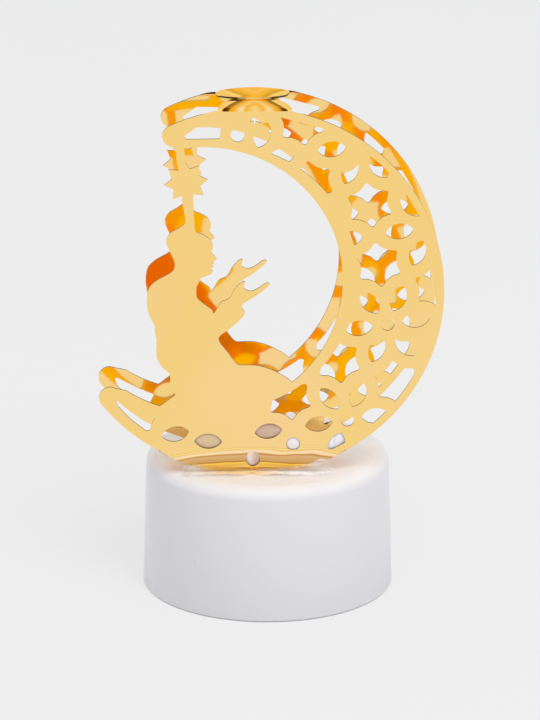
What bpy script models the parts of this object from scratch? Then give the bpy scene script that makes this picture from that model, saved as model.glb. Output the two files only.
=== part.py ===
"""Moon table lamp: a gilt sheet-metal crescent, folded double and pierced with leaves, dots and
six-cornered stars, glued onto a round white base that holds an LED, three button cells and a switch.

Metres, +Z up. The origin is on the axis of the base, in the plane it stands on. +X is to the right
and -Y towards the viewer. Run with: blender --background --python part.py
"""
import math

import bmesh
import bpy
from mathutils import Matrix, Vector, geometry

MM = 0.001

# Gaps: still pieces that touch, and pieces that slide or turn in one another
SEAT_GAP = 0.0003
RUN_GAP = 0.0001

# White moulded base
BASE_DIAMETER = 0.055
BASE_HEIGHT = 0.0302
BASE_DRAFT = 0.0008
BASE_EDGE_RADIUS = 0.003
BASE_WALL = 0.0018
BASE_SIDES = 60

# Bottom plate and the screws that hold it
PLATE_THICKNESS = 0.0026
PLATE_SCREW_CIRCLE = 0.0200
PLATE_SCREW_ANGLES = (90.0, 205.0, 335.0)
BOSS_RADIUS = 0.0027
SCREW_HEAD_RADIUS = 0.0019
SCREW_HEAD_HEIGHT = 0.0011
SCREW_SHANK_RADIUS = 0.0010
PLATE_SCREW_LENGTH = 0.0080
SCREW_SIDES = 12

# Button cells, laid end to end along X
CELL_COUNT = 3
CELL_DIAMETER = 0.0116
CELL_LENGTH = 0.0054
CELL_AXIS_Y = -0.0132

# Battery bay, its contacts and its door
BAY_WALL = 0.0012
CONTACT_THICKNESS = 0.0004
CONTACT_WIDTH = 0.0084
CONTACT_TAB_WIDTH = 0.0024
CONTACT_TAB_HEIGHT = 0.0022
LEAF_WIDTH = 0.0060
LEAF_DEPTH = 0.0020
DOOR_THICKNESS = 0.0018
DOOR_LEDGE = 0.0011
DOOR_TONGUE = 0.0042
DOOR_PIN_RADIUS = 0.00045
DOOR_PIN_LENGTH = 0.0009
DOOR_SCREW_GRIP = 0.0016

# Slide switch
SWITCH_Y = 0.0122
SWITCH_LENGTH = 0.0086
SWITCH_WIDTH = 0.0044
SWITCH_HEIGHT = 0.0038
SWITCH_TRAVEL = 0.0020
SLIDER_LENGTH = 0.0036
SLIDER_WIDTH = 0.0024
SLIDER_HEIGHT = 0.0012
KNOB_SIZE = 0.0016
KNOB_RECESS = 0.0004
THUMB_POCKET = (0.0100, 0.0060, 0.0013)
TERMINAL_PITCH = 0.0025
TERMINAL_SIZE = (0.0008, 0.0005, 0.0024)

# Lamp board on two posts
BOARD_RADIUS = 0.0100
BOARD_THICKNESS = 0.0012
BOARD_Y = 0.0035
LED_ROOM = 0.0012
POST_SPACING = 0.0150
POST_RADIUS = 0.0021
BOARD_SCREW_LENGTH = 0.0045
LED_RADIUS = 0.0025
LED_FLANGE_RADIUS = 0.0029
LED_FLANGE_HEIGHT = 0.0010
LED_STRAIGHT = 0.0050
LED_LEAD = 0.0005
LED_LEAD_PITCH = 0.00254
LED_LEAD_LENGTH = 0.0026
RESISTOR_LENGTH = 0.0060
RESISTOR_RADIUS = 0.0011
RESISTOR_LEAD = 0.0005
RESISTOR_SPAN = 0.0090
RESISTOR_Y = 0.0090
WIRE_RADIUS = 0.0006
WIRE_SIDES = 8
WIRE_REACH = 0.0024
WIRE_BOW = 0.0150
PAD_OFFSET = (0.0042, 0.0068)

# Folded moon sheet: outer circle, bay circle and the two plates
SHEET_THICKNESS = 0.0004
MOON_RADIUS = 0.0412
MOON_X = -0.00345
PLATE_PITCH = 0.0160
FRONT_PLATE_Y = -0.0150
MOON_DROP = 0.0008
BAY_RADIUS = 0.0299
BAY_X = -0.0105
BAY_Z = 0.0027
UPPER_TIP_RADIUS = 0.00235
UPPER_TIP_ANGLE = 115.6
LOWER_TIP_RADIUS = 0.0020
LOWER_TIP_ANGLE = 216.6

# Foot: each plate leans out below a crease, then turns under in a small bend
FOOT_CREASE = 0.0046
FOOT_BULGE = 0.0010
FOOT_BEND_RADIUS = 0.0015

# Top tabs, which fold inwards and lap over each other
TAB_X = 0.0006
TAB_WIDTH = 0.0156
TAB_REACH = 0.00085
TAB_BEND_RADIUS = 0.0006
TAB_RISE = 0.0004

# Pierced lattice: dots on a triangular grid, leaves round them, stars between them, inside the
# outer border and outside the inner field's circle; plain spots and slivers stay closed
LATTICE_PITCH = 0.0234
LATTICE_TURN = 8.5
LATTICE_X = 0.02905
LATTICE_Z = -0.00715
DOT_RADIUS = 0.0015
LEAF_RING = 0.0062
PIERCED_LEAF = (0.0061, 0.0035)
STAR_CORNER = 0.0049
STAR_WAIST = 0.0039
OUTER_BORDER = 0.0020
INNER_FIELD = (-0.0076, 0.0038, 0.0295)
SMALLEST_HOLE = 2.0e-6
PLAIN_SPOTS = [(-0.0060, -0.0240, 0.0090), (-0.0040, 0.0343, 0.0010)]
PLAIN_LEFT = -0.0085
DOT_LEAVES = 5

# Clear glue beads on the base, under the front plate's rising edge on both sides of the foot
BEAD_HEIGHT = 0.0022
BEAD_GAP = 0.0002
BEAD_HALF_WIDTH = 0.0013
RIGHT_BEAD = (0.0092, 0.0190)
LEFT_BEAD = (-0.0190, -0.0092)


def clear_scene():
    for old in list(bpy.data.objects):
        bpy.data.objects.remove(old, do_unlink=True)


def finish(name, colour, roughness, metallic, alpha=1.0):
    """A plain Principled material."""
    material = bpy.data.materials.new(name)
    material.use_nodes = True
    shader = material.node_tree.nodes["Principled BSDF"]
    shader.inputs["Base Color"].default_value = (*colour, 1.0)
    shader.inputs["Roughness"].default_value = roughness
    shader.inputs["Metallic"].default_value = metallic
    shader.inputs["Alpha"].default_value = alpha
    material.diffuse_color = (*colour, alpha)
    return material


def add_object(name, bm, material, location=(0.0, 0.0, 0.0), parent=None, smooth=True):
    """Turns a bmesh into a named object with its own material."""
    bmesh.ops.recalc_face_normals(bm, faces=bm.faces)
    mesh = bpy.data.meshes.new(name)
    bm.to_mesh(mesh)
    bm.free()
    if smooth:
        mesh.shade_smooth()
        mesh.set_sharp_from_angle(angle=math.radians(35.0))
    obj = bpy.data.objects.new(name, mesh)
    bpy.context.scene.collection.objects.link(obj)
    obj.location = location
    if material is not None:
        mesh.materials.append(material)
    if parent is not None:
        obj.parent = parent
        obj.location = Vector(location) - parent.location
    return obj


def guide(name, bm):
    """A hidden cutter or filler for a Boolean modifier."""
    obj = add_object(name, bm, None, smooth=False)
    obj.hide_render = True
    obj.display_type = "WIRE"
    return obj


def boolean(target, other, operation):
    modifier = target.modifiers.new(other.name, "BOOLEAN")
    modifier.operation = operation
    modifier.solver = "EXACT"
    modifier.object = other
    return modifier


def turned(bm, profile, sides, centre=(0.0, 0.0, 0.0), axis="Z"):
    """Revolves a profile of (radius, height) points; its two ends lie on the axis or form a ring."""
    turn = {"Z": Matrix.Identity(3), "X": Matrix.Rotation(math.radians(90.0), 3, "Y")}[axis]
    rings = []
    for radius, height in profile:
        if radius == 0.0:
            rings.append([bm.verts.new(Vector(centre) + turn @ Vector((0.0, 0.0, height)))])
            continue
        ring = []
        for step in range(sides):
            angle = 2.0 * math.pi * step / sides
            point = Vector((radius * math.cos(angle), radius * math.sin(angle), height))
            ring.append(bm.verts.new(Vector(centre) + turn @ point))
        rings.append(ring)
    for lower, upper in zip(rings, rings[1:]):
        for step in range(sides):
            after = (step + 1) % sides
            corners = [lower[step % len(lower)], lower[after % len(lower)],
                       upper[after % len(upper)], upper[step % len(upper)]]
            unique = list(dict.fromkeys(corners))
            bm.faces.new(unique)
    return rings


def rod(bm, radius, low, high, centre=(0.0, 0.0), sides=16):
    """An upright cylinder between two heights."""
    turned(bm, [(0.0, low), (radius, low), (radius, high), (0.0, high)], sides, (*centre, 0.0))


def block(bm, low, high):
    """A box between two corners."""
    size = Vector(high) - Vector(low)
    middle = (Vector(high) + Vector(low)) / 2.0
    matrix = Matrix.Translation(middle) @ Matrix.Diagonal((*size, 1.0))
    bmesh.ops.create_cube(bm, size=1.0, matrix=matrix)


def slab(bm, outline, place, depth):
    """Extrudes a flat outline; place maps (u, v, w) to a point, w running from 0 to depth."""
    near = [bm.verts.new(place(u, v, 0.0)) for u, v in outline]
    far = [bm.verts.new(place(u, v, depth)) for u, v in outline]
    bm.faces.new(near)
    bm.faces.new(list(reversed(far)))
    count = len(outline)
    for index in range(count):
        after = (index + 1) % count
        bm.faces.new((near[index], far[index], far[after], near[after]))


def arc(centre, radius, start, end, steps):
    """Points along an arc, both ends included; angles in degrees."""
    points = []
    for step in range(steps + 1):
        angle = math.radians(start + (end - start) * step / steps)
        points.append((centre[0] + radius * math.cos(angle), centre[1] + radius * math.sin(angle)))
    return points


def smooth_line(points):
    """Adds one point between each pair, on a Catmull-Rom curve through all of them."""
    result = []
    last = len(points) - 1
    for index in range(last):
        before = points[max(index - 1, 0)]
        here = points[index]
        after = points[index + 1]
        beyond = points[min(index + 2, last)]
        result.append(here)
        between = [9.0 / 16.0 * (here[k] + after[k]) - (before[k] + beyond[k]) / 16.0 for k in (0, 1)]
        result.append((between[0], between[1]))
    result.append(points[last])
    return result


# Base shell


def base_outer_radius(height):
    return BASE_DIAMETER / 2.0 - BASE_DRAFT * height / BASE_HEIGHT


def base_inner_radius(height):
    return base_outer_radius(height) - BASE_WALL


def boss_centres():
    centres = []
    for angle in PLATE_SCREW_ANGLES:
        turn = math.radians(angle)
        centres.append((PLATE_SCREW_CIRCLE * math.cos(turn), PLATE_SCREW_CIRCLE * math.sin(turn)))
    return centres


def make_base_shell():
    """A cup turned upside down, with a soft top edge and three screw bosses inside."""
    ceiling = BASE_HEIGHT - BASE_WALL
    top_radius = base_outer_radius(BASE_HEIGHT) - BASE_EDGE_RADIUS
    edge = arc((top_radius, BASE_HEIGHT - BASE_EDGE_RADIUS), BASE_EDGE_RADIUS, 90.0, 0.0, 5)
    inner_edge = max(BASE_EDGE_RADIUS - BASE_WALL, 0.0004)
    inner_top = base_inner_radius(ceiling) - inner_edge
    corner = arc((inner_top, ceiling - inner_edge), inner_edge, 0.0, 90.0, 2)
    profile = [(0.0, BASE_HEIGHT)] + edge
    profile += [(base_outer_radius(0.0), 0.0), (base_inner_radius(0.0), 0.0)]
    profile += corner + [(0.0, ceiling)]
    bm = bmesh.new()
    turned(bm, profile, BASE_SIDES)
    white = finish("white_plastic", (0.80, 0.79, 0.80), 0.35, 0.0)
    shell = add_object("base_shell", bm, white)
    fill = bmesh.new()
    drill = bmesh.new()
    boss_foot = PLATE_THICKNESS + SEAT_GAP
    pilot = SCREW_SHANK_RADIUS + SEAT_GAP
    pilot_top = screw_seat_height() + PLATE_SCREW_LENGTH + 2.0 * SEAT_GAP
    for centre in boss_centres():
        rod(fill, BOSS_RADIUS, boss_foot, ceiling + BASE_WALL / 2.0, centre)
        rod(drill, pilot, boss_foot - SEAT_GAP, pilot_top, centre, SCREW_SIDES)
    boolean(shell, guide("boss_filler", fill), "UNION")
    boolean(shell, guide("boss_drill", drill), "DIFFERENCE")


# Bottom plate, battery bay and posts


def cell_axis_z():
    return DOOR_THICKNESS + 2.0 * SEAT_GAP + CELL_DIAMETER / 2.0


def bay_length():
    cells = CELL_COUNT * CELL_LENGTH + (CELL_COUNT - 1) * SEAT_GAP
    plate_side = CONTACT_THICKNESS + 2.0 * SEAT_GAP
    spring_side = LEAF_DEPTH + 2.0 * SEAT_GAP
    return cells + plate_side + spring_side


def bay_half_width():
    return CELL_DIAMETER / 2.0 + SEAT_GAP


def bay_ceiling():
    return cell_axis_z() + CELL_DIAMETER / 2.0 + SEAT_GAP


def roof_top():
    return bay_ceiling() + BAY_WALL


def door_back_y():
    """The hinged edge of the door, in front of the bay."""
    return CELL_AXIS_Y - bay_half_width() - DOOR_LEDGE


def door_front_y():
    """The edge of the door's square part, behind the bay."""
    return CELL_AXIS_Y + bay_half_width() + DOOR_LEDGE


def door_half_length():
    return bay_length() / 2.0 + DOOR_LEDGE


def hinge_axis():
    return (0.0, door_back_y() + DOOR_THICKNESS / 2.0, DOOR_THICKNESS / 2.0)


def door_screw_centre():
    return (0.0, door_front_y() + DOOR_TONGUE / 2.0)


def tongue_half_width():
    return SCREW_HEAD_RADIUS + 2.0 * SEAT_GAP + BAY_WALL


def screw_seat_height():
    """Height of the ledge under a plate screw's head, measured from the table."""
    return SCREW_HEAD_HEIGHT + SEAT_GAP + SEAT_GAP


def board_foot():
    """Height of the underside of the lamp board, which leaves room for the LED under the roof."""
    led = SEAT_GAP + LED_FLANGE_HEIGHT + LED_STRAIGHT + LED_RADIUS
    return BASE_HEIGHT - BASE_WALL - LED_ROOM - led - BOARD_THICKNESS


def board_top():
    return board_foot() + BOARD_THICKNESS


def post_centres():
    return [(-POST_SPACING / 2.0, BOARD_Y), (POST_SPACING / 2.0, BOARD_Y)]


def make_bottom_plate():
    """A flush disc with the battery bay, the door's recess, the switch pocket and two board posts."""
    plate_radius = base_inner_radius(PLATE_THICKNESS) - SEAT_GAP
    bm = bmesh.new()
    rod(bm, plate_radius, 0.0, PLATE_THICKNESS, sides=BASE_SIDES)
    black = finish("bottom_plastic", (0.78, 0.77, 0.78), 0.45, 0.0)
    plate = add_object("bottom_plate", bm, black)
    half_length = bay_length() / 2.0
    half_width = bay_half_width()
    fill = bmesh.new()
    block(fill, (-half_length - BAY_WALL, CELL_AXIS_Y - half_width - BAY_WALL, PLATE_THICKNESS / 2.0),
          (half_length + BAY_WALL, CELL_AXIS_Y + half_width + BAY_WALL, roof_top()))
    boolean(plate, guide("bay_filler", fill), "UNION")
    posts = bmesh.new()
    for centre in post_centres():
        rod(posts, POST_RADIUS, PLATE_THICKNESS / 2.0, board_foot() - SEAT_GAP, centre, SCREW_SIDES)
    door_boss_top = DOOR_THICKNESS + 2.0 * SEAT_GAP + DOOR_SCREW_GRIP + BAY_WALL
    rod(posts, BOSS_RADIUS, PLATE_THICKNESS / 2.0, door_boss_top, door_screw_centre(), SCREW_SIDES)
    boolean(plate, guide("post_filler", posts), "UNION")
    recesses = bmesh.new()
    add_door_recess(recesses)
    add_thumb_pocket(recesses)
    boolean(plate, guide("recess_cutter", recesses), "DIFFERENCE")
    spaces = bmesh.new()
    add_bay_space(spaces)
    add_pin_holes(spaces)
    add_knob_slot(spaces)
    boolean(plate, guide("bay_cutter", spaces), "DIFFERENCE")
    holes = bmesh.new()
    add_tab_slots(holes)
    add_screw_holes(holes)
    boolean(plate, guide("plate_drill", holes), "DIFFERENCE")


def add_bay_space(bm):
    """The space for the cells, open to the door's recess below."""
    half_length = bay_length() / 2.0
    half_width = bay_half_width()
    block(bm, (-half_length, CELL_AXIS_Y - half_width, DOOR_THICKNESS),
          (half_length, CELL_AXIS_Y + half_width, bay_ceiling()))


def add_tab_slots(bm):
    """Slots in the bay's roof for the solder tabs of the two contacts."""
    inset = SEAT_GAP / 3.0
    far = bay_length() / 2.0 - inset
    near = far - CONTACT_THICKNESS - 2.0 * SEAT_GAP
    tab = CONTACT_TAB_WIDTH / 2.0 + SEAT_GAP
    low = bay_ceiling() - BAY_WALL / 2.0
    high = roof_top() + BAY_WALL
    block(bm, (-far, CELL_AXIS_Y - tab, low), (-near, CELL_AXIS_Y + tab, high))
    block(bm, (near, CELL_AXIS_Y - tab, low), (far, CELL_AXIS_Y + tab, high))


def add_screw_holes(bm):
    """Holes for the plate screws, the board screws and the door screw."""
    shank = SCREW_SHANK_RADIUS + SEAT_GAP
    head = SCREW_HEAD_RADIUS + SEAT_GAP
    for centre in boss_centres():
        profile = [(0.0, -MM), (head, -MM), (head, screw_seat_height())]
        profile += [(shank, screw_seat_height()), (shank, PLATE_THICKNESS + MM), (0.0, PLATE_THICKNESS + MM)]
        turned(bm, profile, SCREW_SIDES, (*centre, 0.0))
    for centre in post_centres():
        top = board_foot() + BOARD_THICKNESS
        rod(bm, shank, top - BOARD_SCREW_LENGTH - SEAT_GAP, top, centre, SCREW_SIDES)
    top = DOOR_THICKNESS + 2.0 * SEAT_GAP + DOOR_SCREW_GRIP
    rod(bm, shank, DOOR_THICKNESS / 2.0, top, door_screw_centre(), SCREW_SIDES)


def add_thumb_pocket(bm):
    """A shallow pocket in the underside around the switch's knob."""
    length, width, depth = THUMB_POCKET
    slab(bm, rounded_box(length, width, MM, 3), lambda u, v, w: (u, SWITCH_Y + v, w - MM), depth + MM)


def add_knob_slot(bm):
    """The slot the knob slides in."""
    half = (KNOB_SIZE + SWITCH_TRAVEL) / 2.0 + SEAT_GAP
    width = KNOB_SIZE / 2.0 + RUN_GAP
    block(bm, (-half, SWITCH_Y - width, THUMB_POCKET[2] / 2.0),
          (half, SWITCH_Y + width, PLATE_THICKNESS + MM))


def add_door_recess(bm):
    """The step in the plate's underside that the door lies in."""
    slab(bm, door_outline(SEAT_GAP), lambda u, v, w: (u, v, w - MM), DOOR_THICKNESS + SEAT_GAP + MM)


def add_pin_holes(bm):
    """The holes beside the recess that the door's pins turn in."""
    near = door_half_length()
    far = near + SEAT_GAP + DOOR_PIN_LENGTH
    pin = DOOR_PIN_RADIUS + RUN_GAP
    for low, high in ((-far, -near), (near, far)):
        profile = [(0.0, low), (pin, low), (pin, high), (0.0, high)]
        turned(bm, profile, SCREW_SIDES, hinge_axis(), "X")


def rounded_box(length, width, radius, steps):
    """A rectangle with round corners, centred on the origin."""
    points = []
    corners = ((1, 1, 0.0), (-1, 1, 90.0), (-1, -1, 180.0), (1, -1, 270.0))
    for side_x, side_y, start in corners:
        centre = (side_x * (length / 2.0 - radius), side_y * (width / 2.0 - radius))
        points += arc(centre, radius, start, start + 90.0, steps)
    return points


def door_outline(gap):
    """The door seen from above, grown by a gap: a rectangle with a tongue for the screw."""
    half = door_half_length() + gap
    back = door_back_y() - gap
    front = door_front_y() + gap
    tongue = tongue_half_width() + gap
    tip = front + DOOR_TONGUE
    return [(-half, back), (half, back), (half, front), (tongue, front), (tongue, tip),
            (-tongue, tip), (-tongue, front), (-half, front)]


# Battery door with its pins and screw


def make_battery_door():
    """The door turns on two pins moulded at its front edge, which is rounded about their axis."""
    axis = hinge_axis()
    radius = DOOR_THICKNESS / 2.0
    half = door_half_length()
    bm = bmesh.new()
    nose = arc((0.0, 0.0), radius, 90.0, 270.0, 6)
    reach = door_front_y() - axis[1]
    side = nose + [(reach, -radius), (reach, radius)]
    slab(bm, side, lambda u, v, w: (w - half, u, v), 2.0 * half)
    plastic = finish("door_plastic", (0.78, 0.77, 0.78), 0.45, 0.0)
    door = add_object("battery_door", bm, plastic, axis)
    tongue = tongue_half_width()
    fill = bmesh.new()
    block(fill, (-tongue, door_front_y() - MM, 0.0),
          (tongue, door_front_y() + DOOR_TONGUE, DOOR_THICKNESS))
    boolean(door, guide("door_tongue", fill), "UNION")
    pins = bmesh.new()
    end = half + DOOR_PIN_LENGTH
    inner = half - DOOR_PIN_LENGTH
    for low, high in ((-end, -inner), (inner, end)):
        profile = [(0.0, low), (DOOR_PIN_RADIUS, low), (DOOR_PIN_RADIUS, high), (0.0, high)]
        turned(pins, profile, SCREW_SIDES, axis, "X")
    boolean(door, guide("door_pins", pins), "UNION")
    drill = bmesh.new()
    head = SCREW_HEAD_RADIUS + SEAT_GAP
    shank = SCREW_SHANK_RADIUS + SEAT_GAP
    seat = DOOR_THICKNESS / 2.0
    profile = [(0.0, -MM), (head, -MM), (head, seat), (shank, seat), (shank, 2.0 * MM), (0.0, 2.0 * MM)]
    turned(drill, profile, SCREW_SIDES, (*door_screw_centre(), 0.0))
    boolean(door, guide("door_drill", drill), "DIFFERENCE")
    return door


def screw_body(head_height, length):
    """A pan-head screw, head down, with its seat at height zero."""
    bm = bmesh.new()
    profile = [(0.0, -head_height), (SCREW_HEAD_RADIUS * 0.8, -head_height),
               (SCREW_HEAD_RADIUS, -head_height * 0.6), (SCREW_HEAD_RADIUS, 0.0),
               (SCREW_SHANK_RADIUS, 0.0), (SCREW_SHANK_RADIUS, length * 0.85), (0.0, length)]
    turned(bm, profile, SCREW_SIDES)
    return bm


def make_screws(door):
    steel = finish("screw_steel", (0.55, 0.55, 0.56), 0.30, 1.0)
    seat = screw_seat_height() - SEAT_GAP
    for number, centre in enumerate(boss_centres(), start=1):
        bm = screw_body(SCREW_HEAD_HEIGHT, PLATE_SCREW_LENGTH)
        add_object(f"plate_screw_{number}", bm, steel, (*centre, seat))
    for number, centre in enumerate(post_centres(), start=1):
        bm = screw_body(SCREW_HEAD_HEIGHT, BOARD_SCREW_LENGTH - SEAT_GAP)
        bmesh.ops.rotate(bm, verts=bm.verts, cent=(0.0, 0.0, 0.0), matrix=Matrix.Rotation(math.pi, 3, "X"))
        top = board_foot() + BOARD_THICKNESS + SEAT_GAP
        add_object(f"board_screw_{number}", bm, steel, (*centre, top))
    head = DOOR_THICKNESS / 2.0 - SEAT_GAP - RUN_GAP
    bm = screw_body(head, DOOR_THICKNESS / 2.0 + 2.0 * SEAT_GAP + DOOR_SCREW_GRIP)
    place = (*door_screw_centre(), DOOR_THICKNESS / 2.0 - SEAT_GAP)
    add_object("door_screw", bm, steel, place, parent=door)


# Cells and contacts


def first_cell_x():
    return -bay_length() / 2.0 + CONTACT_THICKNESS + 2.0 * SEAT_GAP


def make_cells():
    """Each cell is a can with a slightly smaller cap on its negative end."""
    steel = finish("cell_steel", (0.62, 0.62, 0.62), 0.25, 1.0)
    radius = CELL_DIAMETER / 2.0
    step = CELL_LENGTH * 0.12
    cap = radius * 0.86
    profile = [(0.0, 0.0), (radius - step / 2.0, 0.0), (radius, step / 2.0), (radius, CELL_LENGTH - 2.0 * step),
               (radius - step / 2.0, CELL_LENGTH - step), (cap, CELL_LENGTH - step), (cap, CELL_LENGTH),
               (0.0, CELL_LENGTH)]
    for number in range(CELL_COUNT):
        bm = bmesh.new()
        turned(bm, profile, 24, (0.0, 0.0, 0.0), "X")
        x = first_cell_x() + number * (CELL_LENGTH + SEAT_GAP)
        add_object(f"button_cell_{number + 1}", bm, steel, (x, CELL_AXIS_Y, cell_axis_z()))


def make_contacts():
    """A flat contact at the positive end and a bent leaf spring at the negative end."""
    nickel = finish("contact_nickel", (0.66, 0.62, 0.55), 0.30, 1.0)
    foot = DOOR_THICKNESS + 3.0 * SEAT_GAP
    head = bay_ceiling() - SEAT_GAP
    tab_top = roof_top() + CONTACT_TAB_HEIGHT
    half = CONTACT_WIDTH / 2.0
    tab = CONTACT_TAB_WIDTH / 2.0
    plate = [(-half, foot), (half, foot), (half, head), (tab, head), (tab, tab_top),
             (-tab, tab_top), (-tab, head), (-half, head)]
    bm = bmesh.new()
    x = -bay_length() / 2.0 + SEAT_GAP
    slab(bm, plate, lambda u, v, w: (x + w, CELL_AXIS_Y + u, v), CONTACT_THICKNESS)
    add_object("contact_plate", bm, nickel)
    back = bay_length() / 2.0 - SEAT_GAP
    middle = cell_axis_z()
    turn = LEAF_DEPTH * 0.25
    heel = (back - CONTACT_THICKNESS / 2.0 - turn, foot + CONTACT_THICKNESS + turn)
    spine = [(back - CONTACT_THICKNESS / 2.0, head)] + arc(heel, turn, 0.0, -180.0, 4)
    spine += [(back - LEAF_DEPTH * 0.85, middle - CELL_DIAMETER * 0.12),
              (back - LEAF_DEPTH * 0.85, middle + CELL_DIAMETER * 0.12),
              (back - LEAF_DEPTH * 0.45, middle + CELL_DIAMETER * 0.3)]
    bm = bmesh.new()
    outline = thick_line(spine, CONTACT_THICKNESS * 0.75)
    slab(bm, outline, lambda u, v, w: (u, CELL_AXIS_Y - LEAF_WIDTH / 2.0 + w, v), LEAF_WIDTH)
    leaf = add_object("contact_spring", bm, nickel)
    fill = bmesh.new()
    block(fill, (back - CONTACT_THICKNESS * 0.8, CELL_AXIS_Y - tab, head - MM),
          (back - CONTACT_THICKNESS * 0.2, CELL_AXIS_Y + tab, tab_top))
    boolean(leaf, guide("leaf_tab", fill), "UNION")


def thick_line(points, thickness):
    """The outline of a bent strip along a line of points."""
    left = []
    right = []
    last = len(points) - 1
    for index, (u, v) in enumerate(points):
        before = Vector(points[max(index - 1, 0)])
        after = Vector(points[min(index + 1, last)])
        along = (after - before).normalized()
        side = Vector((-along.y, along.x)) * thickness / 2.0
        left.append((u + side.x, v + side.y))
        right.append((u - side.x, v - side.y))
    return left + list(reversed(right))


# Switch


def make_switch():
    """A small slide switch on the plate; its knob reaches down into the thumb pocket."""
    foot = PLATE_THICKNESS + SEAT_GAP
    top = foot + SWITCH_HEIGHT
    bm = bmesh.new()
    block(bm, (-SWITCH_LENGTH / 2.0, SWITCH_Y - SWITCH_WIDTH / 2.0, foot),
          (SWITCH_LENGTH / 2.0, SWITCH_Y + SWITCH_WIDTH / 2.0, top))
    metal = finish("switch_metal", (0.60, 0.60, 0.61), 0.30, 1.0)
    housing = add_object("switch_housing", bm, metal, smooth=False)
    pins = bmesh.new()
    width, depth, height = TERMINAL_SIZE
    for place in (-1, 0, 1):
        x = place * TERMINAL_PITCH
        block(pins, (x - width / 2.0, SWITCH_Y - depth / 2.0, top - MM),
              (x + width / 2.0, SWITCH_Y + depth / 2.0, top + height))
    boolean(housing, guide("switch_terminals", pins), "UNION")
    channel = bmesh.new()
    half = (SLIDER_LENGTH + SWITCH_TRAVEL) / 2.0 + RUN_GAP
    roof = foot + SLIDER_HEIGHT + 2.0 * RUN_GAP
    block(channel, (-half, SWITCH_Y - SLIDER_WIDTH / 2.0 - RUN_GAP, foot - MM),
          (half, SWITCH_Y + SLIDER_WIDTH / 2.0 + RUN_GAP, roof))
    boolean(housing, guide("switch_channel", channel), "DIFFERENCE")
    slider_foot = foot + RUN_GAP
    bm = bmesh.new()
    block(bm, (-SLIDER_LENGTH / 2.0, -SLIDER_WIDTH / 2.0, 0.0),
          (SLIDER_LENGTH / 2.0, SLIDER_WIDTH / 2.0, SLIDER_HEIGHT))
    black = finish("slider_black", (0.03, 0.03, 0.03), 0.45, 0.0)
    place = (-SWITCH_TRAVEL / 2.0, SWITCH_Y, slider_foot)
    slider = add_object("switch_slider", bm, black, place, smooth=False)
    fill = bmesh.new()
    knob = KNOB_SIZE / 2.0
    block(fill, (place[0] - knob, SWITCH_Y - knob, KNOB_RECESS),
          (place[0] + knob, SWITCH_Y + knob, slider_foot + SLIDER_HEIGHT / 2.0))
    boolean(slider, guide("slider_knob", fill), "UNION")


# Board, LED, resistor and wires




def resistor_ends():
    return [(-RESISTOR_SPAN / 2.0, RESISTOR_Y), (RESISTOR_SPAN / 2.0, RESISTOR_Y)]


def make_board():
    bm = bmesh.new()
    rod(bm, BOARD_RADIUS, board_foot(), board_top(), (0.0, BOARD_Y), 32)
    green = finish("board_green", (0.05, 0.22, 0.10), 0.45, 0.0)
    board = add_object("lamp_board", bm, green)
    drill = bmesh.new()
    for centre in post_centres():
        radius = SCREW_SHANK_RADIUS + SEAT_GAP
        rod(drill, radius, board_foot() - MM, board_top() + MM, centre, SCREW_SIDES)
    leads = [(place * LED_LEAD_PITCH / 2.0, BOARD_Y) for place in (-1, 1)] + resistor_ends()
    half = LED_LEAD / 2.0 + SEAT_GAP
    for x, y in leads:
        block(drill, (x - half, y - half, board_foot() - MM), (x + half, y + half, board_top() + MM))
    boolean(board, guide("board_drill", drill), "DIFFERENCE")


def make_led():
    """A five millimetre lamp: flange, straight body and dome, on two leads."""
    foot = board_top() + SEAT_GAP
    neck = foot + LED_FLANGE_HEIGHT
    shoulder = neck + LED_STRAIGHT
    dome = arc((0.0, shoulder), LED_RADIUS, 0.0, 90.0, 4)
    dome[-1] = (0.0, shoulder + LED_RADIUS)
    profile = [(0.0, foot), (LED_FLANGE_RADIUS, foot), (LED_FLANGE_RADIUS, neck), (LED_RADIUS, neck)] + dome
    bm = bmesh.new()
    turned(bm, profile, 16, (0.0, BOARD_Y, 0.0))
    clear = finish("led_resin", (0.95, 0.90, 0.75), 0.10, 0.0, 0.7)
    lamp = add_object("led_lamp", bm, clear)
    leads = bmesh.new()
    half = LED_LEAD / 2.0
    for place in (-1, 1):
        x = place * LED_LEAD_PITCH / 2.0
        block(leads, (x - half, BOARD_Y - half, foot - LED_LEAD_LENGTH),
              (x + half, BOARD_Y + half, foot + LED_FLANGE_HEIGHT / 2.0))
    boolean(lamp, guide("led_leads", leads), "UNION")


def make_resistor():
    """An axial resistor lying over the board, its leads bent down through it."""
    height = board_top() + RESISTOR_RADIUS + SEAT_GAP
    half = RESISTOR_LENGTH / 2.0
    waist = RESISTOR_RADIUS * 0.82
    profile = [(0.0, -half), (RESISTOR_RADIUS, -half), (RESISTOR_RADIUS, -half * 0.6), (waist, -half * 0.45),
               (waist, half * 0.45), (RESISTOR_RADIUS, half * 0.6), (RESISTOR_RADIUS, half), (0.0, half)]
    bm = bmesh.new()
    turned(bm, profile, SCREW_SIDES, (0.0, RESISTOR_Y, height), "X")
    tan = finish("resistor_tan", (0.62, 0.45, 0.26), 0.50, 0.0)
    resistor = add_object("resistor", bm, tan)
    lead = RESISTOR_LEAD / 2.0
    low = board_foot() - MM - height
    outer = RESISTOR_SPAN / 2.0
    leads = bmesh.new()
    for side in (-1, 1):
        bent = [(half - MM, -lead), (outer - lead, -lead), (outer - lead, low),
                (outer + lead, low), (outer + lead, lead), (half - MM, lead)]
        slab(leads, bent, lambda u, v, w: (side * u, RESISTOR_Y - lead + w, height + v), RESISTOR_LEAD)
    bmesh.ops.recalc_face_normals(leads, faces=leads.faces)
    boolean(resistor, guide("resistor_leads", leads), "UNION")


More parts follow.
